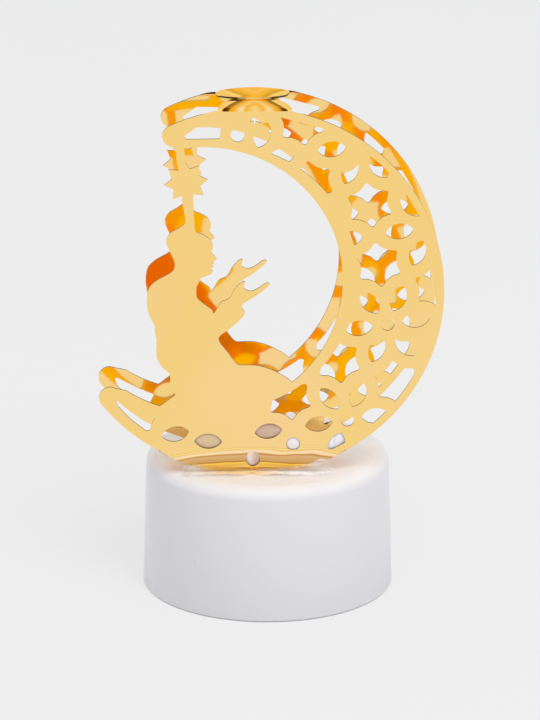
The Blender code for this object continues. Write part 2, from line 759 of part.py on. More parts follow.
def wire(name, route, colour):
    """A round insulated wire through a smooth line of points."""
    line = [Vector(point) for point in route]
    last = len(line) - 1
    fine = []
    for index in range(last):
        before = line[max(index - 1, 0)]
        here = line[index]
        after = line[index + 1]
        beyond = line[min(index + 2, last)]
        fine += [here, (here + after) * 9.0 / 16.0 - (before + beyond) / 16.0]
    fine.append(line[last])
    bm = bmesh.new()
    rings = []
    side = None
    last = len(fine) - 1
    for index, point in enumerate(fine):
        along = (fine[min(index + 1, last)] - fine[max(index - 1, 0)]).normalized()
        side = along.orthogonal() if side is None else side - along * side.dot(along)
        side.normalize()
        across = along.cross(side)
        ring = []
        for step in range(WIRE_SIDES):
            angle = 2.0 * math.pi * step / WIRE_SIDES
            reach = side * math.cos(angle) + across * math.sin(angle)
            ring.append(bm.verts.new(point + reach * WIRE_RADIUS))
        rings.append(ring)
    bm.faces.new(rings[0])
    bm.faces.new(rings[-1])
    for lower, upper in zip(rings, rings[1:]):
        for step in range(WIRE_SIDES):
            after = (step + 1) % WIRE_SIDES
            bm.faces.new((lower[step], lower[after], upper[after], upper[step]))
    add_object(name, bm, finish(name, colour, 0.45, 0.0))


def make_wires():
    """Red from the positive contact to the board, black from the spring to the switch, and blue on."""
    gap = WIRE_RADIUS + SEAT_GAP
    reach = WIRE_REACH
    tab_z = roof_top() + CONTACT_TAB_HEIGHT * 0.55
    left_tab = -bay_length() / 2.0 + SEAT_GAP + CONTACT_THICKNESS / 2.0
    right_tab = -left_tab
    tab_side = CELL_AXIS_Y + CONTACT_TAB_WIDTH / 2.0 + SEAT_GAP
    pad = (-PAD_OFFSET[0], BOARD_Y - PAD_OFFSET[1], board_top() + gap)
    red = [(left_tab, tab_side, tab_z), (left_tab, tab_side + 0.8 * reach, tab_z + 0.2 * reach),
           (left_tab + 0.4 * reach, tab_side + 2.1 * reach, pad[2]),
           (left_tab + 1.3 * reach, pad[1] - 0.3 * reach, pad[2] + 0.3 * reach), pad]
    wire("wire_red", red, (0.60, 0.02, 0.02))
    terminal_z = PLATE_THICKNESS + SEAT_GAP + SWITCH_HEIGHT + TERMINAL_SIZE[2] * 0.6
    terminal_x = TERMINAL_PITCH + TERMINAL_SIZE[0] / 2.0 + SEAT_GAP
    bow = WIRE_BOW
    black = [(right_tab, tab_side, tab_z), (right_tab + 0.5 * reach, tab_side + reach, tab_z + 0.2 * reach),
             (0.92 * bow, tab_side + 1.8 * reach, tab_z - 0.25 * reach), (bow, -0.8 * reach, 0.7 * tab_z),
             (0.95 * bow, SWITCH_Y / 2.0, terminal_z), (0.73 * bow, SWITCH_Y - 0.5 * reach, terminal_z),
             (0.48 * bow, SWITCH_Y, terminal_z), (terminal_x, SWITCH_Y, terminal_z)]
    wire("wire_black", black, (0.02, 0.02, 0.02))
    blue_y = SWITCH_Y - TERMINAL_SIZE[1] / 2.0 - gap
    rise = board_foot() - gap - terminal_z
    blue = [(0.0, blue_y, terminal_z), (0.15 * reach, blue_y - 0.25 * reach, terminal_z + 0.25 * rise),
            (0.65 * reach, blue_y - 0.75 * reach, terminal_z + 0.52 * rise),
            (1.25 * reach, blue_y - 1.1 * reach, terminal_z + 0.8 * rise),
            (1.4 * reach, blue_y - 1.15 * reach, terminal_z + rise)]
    wire("wire_blue", blue, (0.03, 0.08, 0.45))


# Moon sheet: outlines, seen from the front, in metres from the centre of its outer circle

# The figure was drawn in millimetres for a bay of this radius, and is scaled with the bay
DRAWN_BAY = 29.7

STEM_LEFT = [(-16.1, 31.3), (-15.9, 28.9)]
STEM_RIGHT = [(-14.1, 29.0), (-14.3, 31.6)]
SUN_CENTRE = (-14.1, 25.3)
SUN_TIP = 4.8
SUN_WAIST = 3.05
SUN_TURN = 3.0
HEAD_BACK = [(-14.9, 20.6), (-14.5, 18.2), (-14.2, 15.8), (-15.6, 14.5), (-17.4, 13.4), (-18.3, 11.6),
             (-17.8, 9.9), (-16.7, 7.4), (-16.5, 6.0), (-17.3, 4.6), (-20.4, 2.8), (-22.1, 0.9),
             (-22.5, -2.4), (-22.0, -5.0), (-20.9, -7.4), (-20.5, -10.4), (-20.5, -14.2), (-19.5, -16.4),
             (-18.0, -17.9), (-17.6, -19.2), (-17.6, -20.6), (-16.5, -22.9)]
TURBAN_FRONT = [(-8.4, 10.9), (-9.0, 12.0), (-10.4, 13.0), (-12.0, 13.8), (-12.3, 15.8), (-12.4, 18.2),
                (-12.5, 20.4)]
FACE = [(-10.9, 3.4), (-9.6, 3.9), (-8.7, 4.3), (-8.5, 4.9), (-8.8, 5.4), (-8.3, 5.8), (-8.6, 6.15),
        (-8.2, 6.6), (-8.5, 7.0), (-7.6, 7.5), (-8.2, 8.4), (-8.7, 9.1), (-8.4, 9.9)]
CHEST_AND_HANDS = [(-2.7, -16.25), (-3.6, -15.7), (-5.4, -13.2), (-7.0, -11.0), (-7.0, -9.7), (-5.2, -8.3),
                   (-3.1, -6.5), (-1.6, -4.6), (-2.2, -3.3), (-1.9, -2.4), (0.9, -0.6), (3.2, 1.3),
                   (3.7, 2.1), (2.7, 2.1), (1.5, 1.2), (-0.3, 0.4), (-1.8, 1.1), (-1.5, 2.5), (-2.4, 2.3),
                   (-3.9, 0.6), (-4.9, -1.2), (-6.6, -2.0), (-7.6, -3.6), (-8.3, -4.5), (-8.8, -3.6),
                   (-11.1, -1.8), (-11.9, -0.6), (-11.9, 1.4)]
LAP = [(6.0, -18.3), (3.3, -17.0), (0.6, -16.3)]
UPPER_SLOT = [(-14.5, 35.0), (-14.1, 34.3), (-6.9, 34.4), (-6.6, 37.0), (-11.5, 37.2)]
LOWER_SLOT = [(-30.0, -23.9), (-26.4, -28.0), (-22.6, -31.3), (-20.9, -28.4), (-25.2, -26.2)]
LOOSE_LEAVES = [(-16.7, -32.0, 12.0), (-9.6, -33.7, -2.0)]
LOOSE_DOTS = [(8.8, -34.4), (0.1, -37.6), (-3.1, 35.2)]


def drawn(points):
    """Points of the drawing, in metres at the bay's real size."""
    scale = BAY_RADIUS / DRAWN_BAY
    return [(x * scale, z * scale) for x, z in points]


def bay_point(angle):
    turn = math.radians(angle)
    return (BAY_X + BAY_RADIUS * math.cos(turn), BAY_Z + BAY_RADIUS * math.sin(turn))


def bay_angle(point):
    """The direction of a point from the centre of the bay."""
    return math.degrees(math.atan2(point[1] - BAY_Z, point[0] - BAY_X))


def sun_points(first, last):
    """Tips and waists of the eight-pointed sun, in steps of half a ray."""
    points = []
    for step in range(first, last + 1):
        radius = SUN_TIP if step % 2 == 0 else SUN_WAIST
        angle = math.radians(SUN_TURN + 22.5 * step)
        points.append((SUN_CENTRE[0] + radius * math.cos(angle), SUN_CENTRE[1] + radius * math.sin(angle)))
    return points


def moon_z():
    """Height of the centre of the moon's circle, which dips a little into its foot."""
    return floor_z() + MOON_RADIUS - MOON_DROP


def floor_z():
    """Middle of the sheet where it lies on the base."""
    return BASE_HEIGHT + SEAT_GAP + SHEET_THICKNESS / 2.0


def tab_crease():
    """Height above the moon's centre at which the tabs fold in."""
    reach = abs(TAB_X) + TAB_WIDTH / 2.0
    return math.sqrt(MOON_RADIUS ** 2 - reach ** 2)


def foot_half_width():
    return math.sqrt(MOON_RADIUS ** 2 - (MOON_RADIUS - MOON_DROP) ** 2)


def foot_flat():
    """Half the flat foot between the two bends."""
    return PLATE_PITCH / 2.0 + FOOT_BULGE - FOOT_BEND_RADIUS


def foot_lean():
    """How far the bend turns past upright, so that the sheet then leans back to its crease."""
    across = FOOT_BEND_RADIUS - FOOT_BULGE
    up = FOOT_CREASE - FOOT_BEND_RADIUS
    return math.atan2(up, across) - math.acos(FOOT_BEND_RADIUS / math.hypot(across, up))


def lean_length():
    """Length of the leaning strip between the bend and the crease."""
    across = FOOT_BEND_RADIUS - FOOT_BULGE
    up = FOOT_CREASE - FOOT_BEND_RADIUS
    return math.sqrt(across ** 2 + up ** 2 - FOOT_BEND_RADIUS ** 2)


def bend_end():
    """Length of the sheet from the middle of its foot to the end of the bend."""
    return foot_flat() + FOOT_BEND_RADIUS * (math.pi / 2.0 + foot_lean())


def crease_length():
    """Length of the sheet from the middle of its foot to the crease, above which the plate is flat."""
    return bend_end() + lean_length()


def unrolled(point):
    """From a place in the front view to a place on the flat blank."""
    x, z = point
    above_floor = z + MOON_RADIUS - MOON_DROP
    if above_floor >= FOOT_CREASE:
        return (x, crease_length() + above_floor - FOOT_CREASE)
    leaning = (FOOT_CREASE - above_floor) / math.cos(foot_lean())
    if leaning <= lean_length():
        return (x, crease_length() - leaning)
    turn = math.acos(min(max(1.0 - above_floor / FOOT_BEND_RADIUS, -1.0), 1.0))
    return (x, foot_flat() + FOOT_BEND_RADIUS * turn)


def blank_crease_top():
    return crease_length() + tab_crease() + MOON_RADIUS - MOON_DROP - FOOT_CREASE


def crown(x, along):
    """How far the top of a plate and its tab rise over the straight crease, to follow the circle."""
    if abs(x - TAB_X) > TAB_WIDTH / 2.0:
        return 0.0
    low = crown_start()
    share = min(max((along - low) / (blank_crease_top() - low), 0.0), 1.0)
    return share * (math.sqrt(MOON_RADIUS ** 2 - x ** 2) - tab_crease())


def crown_start():
    """Where the crown begins on the blank, just over the pierced field."""
    return blank_crease_top() - (tab_crease() - MOON_RADIUS + OUTER_BORDER)


def folded(x, along, rise):
    """From the flat blank to the folded sheet: depth from the mid-plane and height over the floor."""
    if along <= foot_flat():
        return (x, -along, 0.0)
    if along <= bend_end():
        turn = (along - foot_flat()) / FOOT_BEND_RADIUS
        depth = foot_flat() + FOOT_BEND_RADIUS * math.sin(turn)
        return (x, -depth, FOOT_BEND_RADIUS * (1.0 - math.cos(turn)))
    half_pitch = PLATE_PITCH / 2.0
    height = FOOT_CREASE + along - crease_length()
    if along <= crease_length():
        leaning = crease_length() - along
        depth = half_pitch + leaning * math.sin(foot_lean())
        return (x, -depth, FOOT_CREASE - leaning * math.cos(foot_lean()))
    start = blank_crease_top() - TAB_BEND_RADIUS
    height += crown(x, along)
    if along <= start:
        return (x, -half_pitch, height)
    tilt = math.asin(min(rise / half_pitch, 1.0))
    corner = FOOT_CREASE + start - crease_length() + crown(x, along)
    full = math.pi / 2.0 - tilt
    turn = min((along - start) / TAB_BEND_RADIUS, full)
    depth = half_pitch - TAB_BEND_RADIUS * (1.0 - math.cos(turn))
    height = corner + TAB_BEND_RADIUS * math.sin(turn)
    rest = along - start - TAB_BEND_RADIUS * turn
    return (x, -depth + rest * math.sin(turn), height + rest * math.cos(turn))


def moon_outline():
    """The edge of the front plate with half the foot, from the foot's right corner anticlockwise."""
    foot = foot_half_width()
    start = math.degrees(math.atan2(-(MOON_RADIUS - MOON_DROP), foot))
    tab_right = math.degrees(math.atan2(tab_crease(), TAB_X + TAB_WIDTH / 2.0))
    tab_left = math.degrees(math.atan2(tab_crease(), TAB_X - TAB_WIDTH / 2.0))
    right_side = arc((0.0, 0.0), MOON_RADIUS, start, tab_right, 58)
    edge = [unrolled(point) for point in right_side]
    edge += tab_outline()
    upper_left = arc((0.0, 0.0), MOON_RADIUS, tab_left, UPPER_TIP_ANGLE, 8)
    turn = math.radians(UPPER_TIP_ANGLE)
    reach = MOON_RADIUS - UPPER_TIP_RADIUS
    tip = (reach * math.cos(turn), reach * math.sin(turn))
    left = upper_left[:-1] + arc(tip, UPPER_TIP_RADIUS, UPPER_TIP_ANGLE, 262.0, 8)
    left += drawn(STEM_LEFT + sun_points(7, 11) + smooth_line(HEAD_BACK))
    join = bay_point(251.5)
    left.append(join)
    left += arc((BAY_X, BAY_Z), BAY_RADIUS, 251.5, 236.0, 5)[1:]
    turn = math.radians(LOWER_TIP_ANGLE)
    reach = MOON_RADIUS - LOWER_TIP_RADIUS
    tip = (reach * math.cos(turn), reach * math.sin(turn))
    left += arc(tip, LOWER_TIP_RADIUS, 62.0, LOWER_TIP_ANGLE, 7)
    end = 360.0 + start - 2.0 * (start + 90.0)
    left += arc((0.0, 0.0), MOON_RADIUS, LOWER_TIP_ANGLE, end, 22)[1:]
    edge += [unrolled(point) for point in left]
    return [(foot, 0.0)] + edge + [(-foot, 0.0)]


def tab_outline():
    """The round tab beyond the top crease, on the blank."""
    half = TAB_WIDTH / 2.0
    top = PLATE_PITCH / 2.0 + TAB_REACH
    radius = (half ** 2 + top ** 2) / (2.0 * top)
    middle = top - radius
    swing = math.degrees(math.asin(min(middle / radius, 1.0)))
    crease = blank_crease_top()
    points = arc((TAB_X, crease + middle), radius, -swing, 180.0 + swing, 16)
    return points[1:-1]


def bay_outline():
    """The edge of the open bay between the figure and the crescent, clockwise from the stem."""
    cusp = drawn([(8.3, -19.9)])[0]
    start = bay_angle(drawn([STEM_RIGHT[1]])[0])
    inner = arc((BAY_X, BAY_Z), BAY_RADIUS, start, bay_angle(cusp), 48)
    front = drawn(LAP) + drawn(smooth_line(CHEST_AND_HANDS)) + drawn(FACE)
    front += drawn(smooth_line(TURBAN_FRONT)) + drawn(sun_points(-3, 3)) + drawn([STEM_RIGHT[0]])
    return inner + front


def leaf_outline(centre, angle):
    """A pointed oval made of two arcs."""
    length, width = PIERCED_LEAF
    radius = (length ** 2 + width ** 2) / (4.0 * width)
    swing = math.degrees(math.asin(length / 2.0 / radius))
    points = []
    for side in (1, -1):
        offset = (0.0, side * (width / 2.0 - radius))
        middle = 90.0 * side
        points += arc(offset, radius, middle + swing, middle - swing, 6)[:-1] if side == 1 else \
            arc(offset, radius, middle + swing, middle - swing, 6)[:-1]
    turn = math.radians(angle)
    cos, sin = math.cos(turn), math.sin(turn)
    return [(centre[0] + x * cos - z * sin, centre[1] + x * sin + z * cos) for x, z in points]


def star_outline(centre):
    """A star with six blunt corners joined by hollow sides."""
    points = []
    for corner in range(6):
        for swing, radius in ((-3.0, STAR_CORNER), (3.0, STAR_CORNER), (20.0, STAR_WAIST), (40.0, STAR_WAIST)):
            points.append(offset(centre, radius, LATTICE_TURN + 30.0 + 60.0 * corner + swing))
    return points


def dot_outline(centre):
    return arc(centre, DOT_RADIUS, 0.0, 360.0, 12)[:-1]


def inner_field():
    """The circle that bounds the pierced field on the bay's side, a little off the bay's centre."""
    return INNER_FIELD[:2], INNER_FIELD[2]


def trimmed(outline, centre, limit, inside):
    """The part of a hole that lies inside, or outside, a circle."""
    points = []
    reach = [math.hypot(x - centre[0], z - centre[1]) for x, z in outline]
    leaving = None
    for index, (x, z) in enumerate(outline):
        before = outline[index - 1]
        was = (reach[index - 1] <= limit) == inside
        now = (reach[index] <= limit) == inside
        if was != now:
            share = (limit - reach[index - 1]) / (reach[index] - reach[index - 1])
            crossing = (before[0] + (x - before[0]) * share, before[1] + (z - before[1]) * share)
            if was:
                leaving = len(points)
            elif leaving is not None:
                points.append(on_circle(points[leaving], crossing, centre, limit))
            points.append(crossing)
        if now:
            points.append((x, z))
    return points


def on_circle(first, second, centre, limit):
    """The point of a circle halfway between two of its points."""
    x = (first[0] + second[0]) / 2.0 - centre[0]
    z = (first[1] + second[1]) / 2.0 - centre[1]
    scale = limit / math.hypot(x, z)
    return (centre[0] + x * scale, centre[1] + z * scale)


def area(outline):
    total = 0.0
    for (x1, z1), (x2, z2) in zip(outline, outline[1:] + outline[:1]):
        total += x1 * z2 - x2 * z1
    return abs(total) / 2.0


def lattice_point(column, row):
    first = math.radians(LATTICE_TURN)
    second = math.radians(LATTICE_TURN + 60.0)
    x = LATTICE_X + LATTICE_PITCH * (column * math.cos(first) + row * math.cos(second))
    z = LATTICE_Z + LATTICE_PITCH * (column * math.sin(first) + row * math.sin(second))
    return (x, z)


def offset(point, distance, angle):
    turn = math.radians(angle)
    return (point[0] + distance * math.cos(turn), point[1] + distance * math.sin(turn))


def add_hole(holes, outline, centre):
    """Keeps the part of a hole inside the field, unless it is a sliver or in a plain area."""
    if centre[0] < PLAIN_LEFT or any(math.dist(centre, (x, z)) < reach for x, z, reach in PLAIN_SPOTS):
        return False
    middle, clear = inner_field()
    outline = trimmed(outline, (0.0, 0.0), MOON_RADIUS - OUTER_BORDER, True)
    if outline:
        outline = trimmed(outline, middle, clear, False)
    if len(outline) < 3 or area(outline) < SMALLEST_HOLE:
        return False
    if min(z for _, z in outline) < FOOT_CREASE + MOON_DROP - MOON_RADIUS:
        return False
    holes.append(outline)
    return True


def pierced_holes():
    """Every hole of the lattice that falls on the crescent, and the few loose ones."""
    holes = []
    span = range(-5, 6)
    for column in span:
        for row in span:
            node = lattice_point(column, row)
            leaves = 0
            for corner in range(6):
                angle = LATTICE_TURN + 60.0 * corner
                centre = offset(node, LEAF_RING, angle)
                leaves += add_hole(holes, leaf_outline(centre, angle), centre)
            if leaves >= DOT_LEAVES:
                add_hole(holes, dot_outline(node), node)
            for angle in (30.0, 90.0):
                centre = offset(node, LATTICE_PITCH / math.sqrt(3.0), LATTICE_TURN + angle)
                add_hole(holes, star_outline(centre), centre)
    scale = MM * MOON_RADIUS / 0.0412
    holes.append([(x * scale, z * scale) for x, z in UPPER_SLOT])
    holes.append([(x * scale, z * scale) for x, z in LOWER_SLOT])
    for x, z, angle in LOOSE_LEAVES:
        holes.append(leaf_outline((x * scale, z * scale), angle))
    for x, z in LOOSE_DOTS:
        holes.append(dot_outline((x * scale, z * scale)))
    return holes


def in_any(point, outlines):
    """Whether a point of the blank lies in one of the openings."""
    for outline in outlines:
        inside = False
        for (x1, y1), (x2, y2) in zip(outline, outline[1:] + outline[:1]):
            if (y1 > point.y) != (y2 > point.y):
                if point.x < x1 + (x2 - x1) * (point.y - y1) / (y2 - y1):
                    inside = not inside
        if inside:
            return True
    return False


def fold_lines():
    """Places along the blank where it must be able to bend."""
    turned_length = bend_end() - foot_flat()
    lines = [foot_flat() + turned_length * step / 6 for step in range(7)]
    lines += [crease_length(), crown_start()]
    start = blank_crease_top() - TAB_BEND_RADIUS
    lines += [start + TAB_BEND_RADIUS * math.pi / 2.0 * step / 3 for step in range(4)]
    return lines


def half_sheet(rise):
    """One plate with its tab and half the foot, cut flat and then folded."""
    outline = moon_outline()
    openings = [[unrolled(point) for point in hole] for hole in [bay_outline()] + pierced_holes()]
    points = []
    edges = []
    for loop in [outline] + openings:
        first = len(points)
        points += [Vector(point) for point in loop]
        edges += [(first + index, first + (index + 1) % len(loop)) for index in range(len(loop))]
    blank = geometry.delaunay_2d_cdt(points, edges, [], 0, 1e-8)
    bm = bmesh.new()
    verts = [bm.verts.new((*point, 0.0)) for point in blank[0]]
    for triangle in blank[2]:
        centre = sum((blank[0][index] for index in triangle), Vector((0.0, 0.0))) / 3.0
        if in_any(centre, [outline]) and not in_any(centre, openings):
            bm.faces.new([verts[index] for index in triangle])
    loose = [vert for vert in verts if not vert.link_faces]
    bmesh.ops.delete(bm, geom=loose, context="VERTS")
    for line in fold_lines():
        whole = bm.verts[:] + bm.edges[:] + bm.faces[:]
        bmesh.ops.bisect_plane(bm, geom=whole, dist=1e-7, plane_co=(0.0, line, 0.0),
                               plane_no=(0.0, 1.0, 0.0))
    for step in range(-3, 4):
        top = [face for face in bm.faces if face.calc_center_median().y > crown_start()]
        edges = {edge for face in top for edge in face.edges}
        corners = {vert for face in top for vert in face.verts}
        bmesh.ops.bisect_plane(bm, geom=list(corners) + list(edges) + top, dist=1e-7,
                               plane_co=(TAB_X + TAB_WIDTH * step / 8.0, 0.0, 0.0), plane_no=(1.0, 0.0, 0.0))
    for vert in bm.verts:
        vert.co = folded(vert.co.x, vert.co.y, rise)
    return bm


def make_moon_sheet():
    """Front and rear plates of one sheet, folded up from its foot, with the tabs lapped on top."""
    front = half_sheet(TAB_RISE)
    rear = half_sheet(-TAB_RISE)
    for vert in rear.verts:
        vert.co.y = -vert.co.y
    bmesh.ops.reverse_faces(rear, faces=rear.faces)
    mesh = bpy.data.meshes.new("rear_half")
    rear.to_mesh(mesh)
    rear.free()
    front.from_mesh(mesh)
    bpy.data.meshes.remove(mesh)
    bmesh.ops.remove_doubles(front, verts=front.verts, dist=1e-6)
    gold = finish("gilt_sheet", (0.90, 0.62, 0.22), 0.22, 1.0)
    middle = FRONT_PLATE_Y + PLATE_PITCH / 2.0
    sheet = add_object("moon_sheet", front, gold, (MOON_X, middle, floor_z()))
    solid = sheet.modifiers.new("thickness", "SOLIDIFY")
    solid.thickness = SHEET_THICKNESS
    solid.offset = 0.0
    solid.use_even_offset = True


# Glue beads


def make_glue():
    """Two beads of clear glue under the front plate's rising edge, one on each side of the foot."""
    glue = finish("clear_glue", (0.90, 0.88, 0.84), 0.15, 0.0, 0.5)
    bead("glue_bead_right", glue, RIGHT_BEAD)
    bead("glue_bead_left", glue, LEFT_BEAD)


def room_under_edge(x):
    """Height between the base and the plate's round edge, less the sheet's thickness and a gap."""
    edge = MOON_RADIUS - MOON_DROP - math.sqrt(MOON_RADIUS ** 2 - x ** 2)
    return edge + SHEET_THICKNESS / 2.0 - BEAD_GAP


def bead(name, material, span):
    """A rounded bead along X, flat underneath, that tapers out at both ends."""
    bm = bmesh.new()
    first, last = span
    sections = []
    for step in range(1, 10):
        x = first + (last - first) * step / 10.0
        swell = math.sin(math.pi * step / 10.0)
        height = min(room_under_edge(x), BEAD_HEIGHT * swell)
        half_width = BEAD_HALF_WIDTH * math.sqrt(swell)
        ring = []
        for turn in range(0, 181, 30):
            angle = math.radians(turn)
            ring.append(bm.verts.new((x, half_width * math.cos(angle), height * math.sin(angle))))
        sections.append(ring)
    for before, after in zip(sections, sections[1:]):
        for place in range(7):
            following = (place + 1) % 7
            bm.faces.new((before[place], before[following], after[following], after[place]))
    for x, ring in ((first, sections[0]), (last, sections[-1])):
        tip = bm.verts.new((x, 0.0, 0.0))
        for place in range(7):
            bm.faces.new((ring[place], ring[(place + 1) % 7], tip))
    add_object(name, bm, material, (MOON_X, FRONT_PLATE_Y, BASE_HEIGHT + SEAT_GAP))


clear_scene()
make_base_shell()
make_bottom_plate()
battery_door = make_battery_door()
make_screws(battery_door)
make_cells()
make_contacts()
make_switch()
make_board()
make_led()
make_resistor()
make_wires()
make_moon_sheet()
make_glue()
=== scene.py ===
"""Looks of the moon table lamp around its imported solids: stage, camera, gilt sheet, base and fittings."""
import math

import bmesh
import bpy
from mathutils import Matrix, Vector, geometry


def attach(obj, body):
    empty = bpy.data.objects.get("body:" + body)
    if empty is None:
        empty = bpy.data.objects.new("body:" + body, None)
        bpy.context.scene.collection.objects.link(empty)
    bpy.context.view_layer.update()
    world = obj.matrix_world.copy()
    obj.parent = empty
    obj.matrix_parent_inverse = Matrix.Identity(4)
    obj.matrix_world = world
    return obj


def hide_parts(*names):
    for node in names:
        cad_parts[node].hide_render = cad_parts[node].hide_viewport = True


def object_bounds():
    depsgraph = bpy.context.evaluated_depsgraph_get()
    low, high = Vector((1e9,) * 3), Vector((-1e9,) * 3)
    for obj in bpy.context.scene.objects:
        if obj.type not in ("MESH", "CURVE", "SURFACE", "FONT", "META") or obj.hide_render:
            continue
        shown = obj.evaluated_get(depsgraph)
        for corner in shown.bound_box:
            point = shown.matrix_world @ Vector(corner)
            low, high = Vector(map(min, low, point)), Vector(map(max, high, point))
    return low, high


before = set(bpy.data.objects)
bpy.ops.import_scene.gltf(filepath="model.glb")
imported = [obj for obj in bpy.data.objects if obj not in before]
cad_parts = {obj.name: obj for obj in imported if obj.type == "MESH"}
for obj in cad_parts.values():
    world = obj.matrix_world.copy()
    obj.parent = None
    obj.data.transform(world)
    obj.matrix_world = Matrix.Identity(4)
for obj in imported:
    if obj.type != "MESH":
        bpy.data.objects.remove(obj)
cad_box = [list(corner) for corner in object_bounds()]
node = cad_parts
scene = bpy.context.scene


# Stage: a pale seamless floor, a white room and one soft lamp.
# The camera stands about 1.1 m away and looks down by 18 degrees.


class Value:
    """An output of a node that can be used in sums."""

    def __init__(self, tree, socket):
        self.tree = tree
        self.socket = socket

    def _maths(self, operation, *operands):
        return self.tree.add("ShaderNodeMath", {"operation": operation}, *operands)

    def __add__(self, other):
        return self._maths("ADD", self, other)

    def __radd__(self, other):
        return self._maths("ADD", other, self)

    def __sub__(self, other):
        return self._maths("SUBTRACT", self, other)

    def __rsub__(self, other):
        return self._maths("SUBTRACT", other, self)

    def __mul__(self, other):
        return self._maths("MULTIPLY", self, other)

    def __rmul__(self, other):
        return self._maths("MULTIPLY", other, self)

    def __truediv__(self, other):
        return self._maths("DIVIDE", self, other)

    def __gt__(self, other):
        return self._maths("GREATER_THAN", self, other)

    def __lt__(self, other):
        return self._maths("LESS_THAN", self, other)

    def root(self):
        return self._maths("SQRT", self)

    def __mod__(self, other):
        return self._maths("MODULO", self, other)

    def cosine(self):
        return self._maths("COSINE", self)

    def turn_of(self, other):
        """The direction of a point, from this coordinate and the next."""
        return self._maths("ARCTAN2", other, self)

    def size(self):
        return self._maths("ABSOLUTE", self)

    def between(self, low, high, smooth=True):
        """0 below low, 1 above high, and a ramp between."""
        kind = "SMOOTHSTEP" if smooth else "LINEAR"
        return self.tree.add("ShaderNodeMapRange", {"interpolation_type": kind}, self, low, high)


class Tree:
    """A tree of nodes, for a material or for a shape."""

    def __init__(self, tree):
        self.tree = tree

    def add(self, kind, settings, *values, output=0, named=None):
        """Adds a node, sets it up, fills its sockets and returns one of its outputs."""
        made = self.tree.nodes.new(kind)
        for label, setting in settings.items():
            if label == "stops":
                ramp = made.color_ramp
                while len(ramp.elements) < len(setting):
                    ramp.elements.new(1.0)
                for element, (place, colour) in zip(ramp.elements, setting):
                    element.position = place
                    element.color = (*colour, 1.0)
            else:
                setattr(made, label, setting)
        for place, value in list(enumerate(values)) + list((named or {}).items()):
            if isinstance(value, Value):
                self.tree.links.new(value.socket, made.inputs[place])
            elif value is not None:
                made.inputs[place].default_value = value
        return Value(self, made.outputs[output])

    def blend(self, amount, first, second):
        """A colour between two colours."""
        colours = [(*colour, 1.0) if isinstance(colour, tuple) else colour for colour in (first, second)]
        mixed = {0: amount, 6: colours[0], 7: colours[1]}
        return self.add("ShaderNodeMix", {"data_type": "RGBA"}, output=2, named=mixed)


class Finish(Tree):
    """A node material with a Principled shader."""

    def __init__(self, name, **constants):
        self.material = bpy.data.materials.new(name)
        self.material.use_nodes = True
        super().__init__(self.material.node_tree)
        self.shader = self.tree.nodes["Principled BSDF"]
        self.output = self.tree.nodes["Material Output"]
        for label, number in constants.items():
            self.shader.inputs[label.replace("_", " ")].default_value = number

    def place(self, stretch=(1.0, 1.0, 1.0)):
        """The point of the surface in metres, stretched."""
        point = self.add("ShaderNodeTexCoord", {}, output="Object")
        return self.add("ShaderNodeMapping", {}, point, None, None, stretch)

    def axis(self, index):
        """One coordinate of the surface point, in metres."""
        point = self.add("ShaderNodeTexCoord", {}, output="Object")
        return self.add("ShaderNodeSeparateXYZ", {}, point, output=index)

    def noise(self, scale, detail=3.0, roughness=0.5, stretch=(1.0, 1.0, 1.0)):
        return self.add("ShaderNodeTexNoise", {}, self.place(stretch), None, scale, detail, roughness)

    def ramp(self, amount, stops):
        """A colour picked from a row of colours."""
        return self.add("ShaderNodeValToRGB", {"stops": stops}, amount)

    def feed(self, label, value):
        self.tree.links.new(value.socket, self.shader.inputs[label])

    def bump(self, height, strength, distance):
        sizes = {"Strength": strength, "Distance": distance, "Height": height}
        self.feed("Normal", self.add("ShaderNodeBump", {}, named=sizes))


def mesh_of(bm, name):
    mesh = bpy.data.meshes.new(name)
    bm.to_mesh(mesh)
    bm.free()
    return mesh


BACKDROP = (0.865, 0.865, 0.865)
MIRRORED = (0.95, 0.95, 0.95)
ROOM_LIGHT = (0.69, 0.69, 0.715)
FLOOR_HALF = 3.0
LAMP_PLACE = Vector((0.35, -0.75, 1.25))
LAMP_WIDTH = 0.8
LAMP_POWER = 9.0
TARGET = Vector((0.0, 0.0, 0.060))

room = bpy.data.worlds.new("room")
scene.world = room
room.use_nodes = True
walls = Tree(room.node_tree)
seen = walls.add("ShaderNodeLightPath", {}, output="Is Camera Ray")
mirrored = walls.add("ShaderNodeLightPath", {}, output="Is Glossy Ray")
shade = walls.blend(seen, ROOM_LIGHT, BACKDROP)
shade = walls.blend(mirrored, shade, MIRRORED)
walls.tree.links.new(shade.socket, walls.tree.nodes["Background"].inputs["Color"])

paper = Finish("floor_paper", Roughness=0.9)
paper.feed("Base Color", paper.blend(paper.noise(6.0), (0.84, 0.84, 0.84), (0.87, 0.87, 0.87)))
seen = paper.add("ShaderNodeLightPath", {}, output="Is Camera Ray")
mirrored = paper.add("ShaderNodeLightPath", {}, output="Is Glossy Ray")
through = paper.add("ShaderNodeLightPath", {}, output="Is Transmission Ray")
glow = paper.add("ShaderNodeEmission", {}, paper.blend(mirrored, BACKDROP, MIRRORED))
lit = Value(paper, paper.shader.outputs[0])
mixed = paper.add("ShaderNodeMixShader", {}, (seen + through) * 0.75 + mirrored, lit, glow)
paper.tree.links.new(mixed.socket, paper.output.inputs["Surface"])

bm = bmesh.new()
bmesh.ops.create_grid(bm, x_segments=1, y_segments=1, size=FLOOR_HALF)
floor_mesh = mesh_of(bm, "floor")
floor_mesh.materials.append(paper.material)
floor = bpy.data.objects.new("floor", floor_mesh)
scene.collection.objects.link(floor)

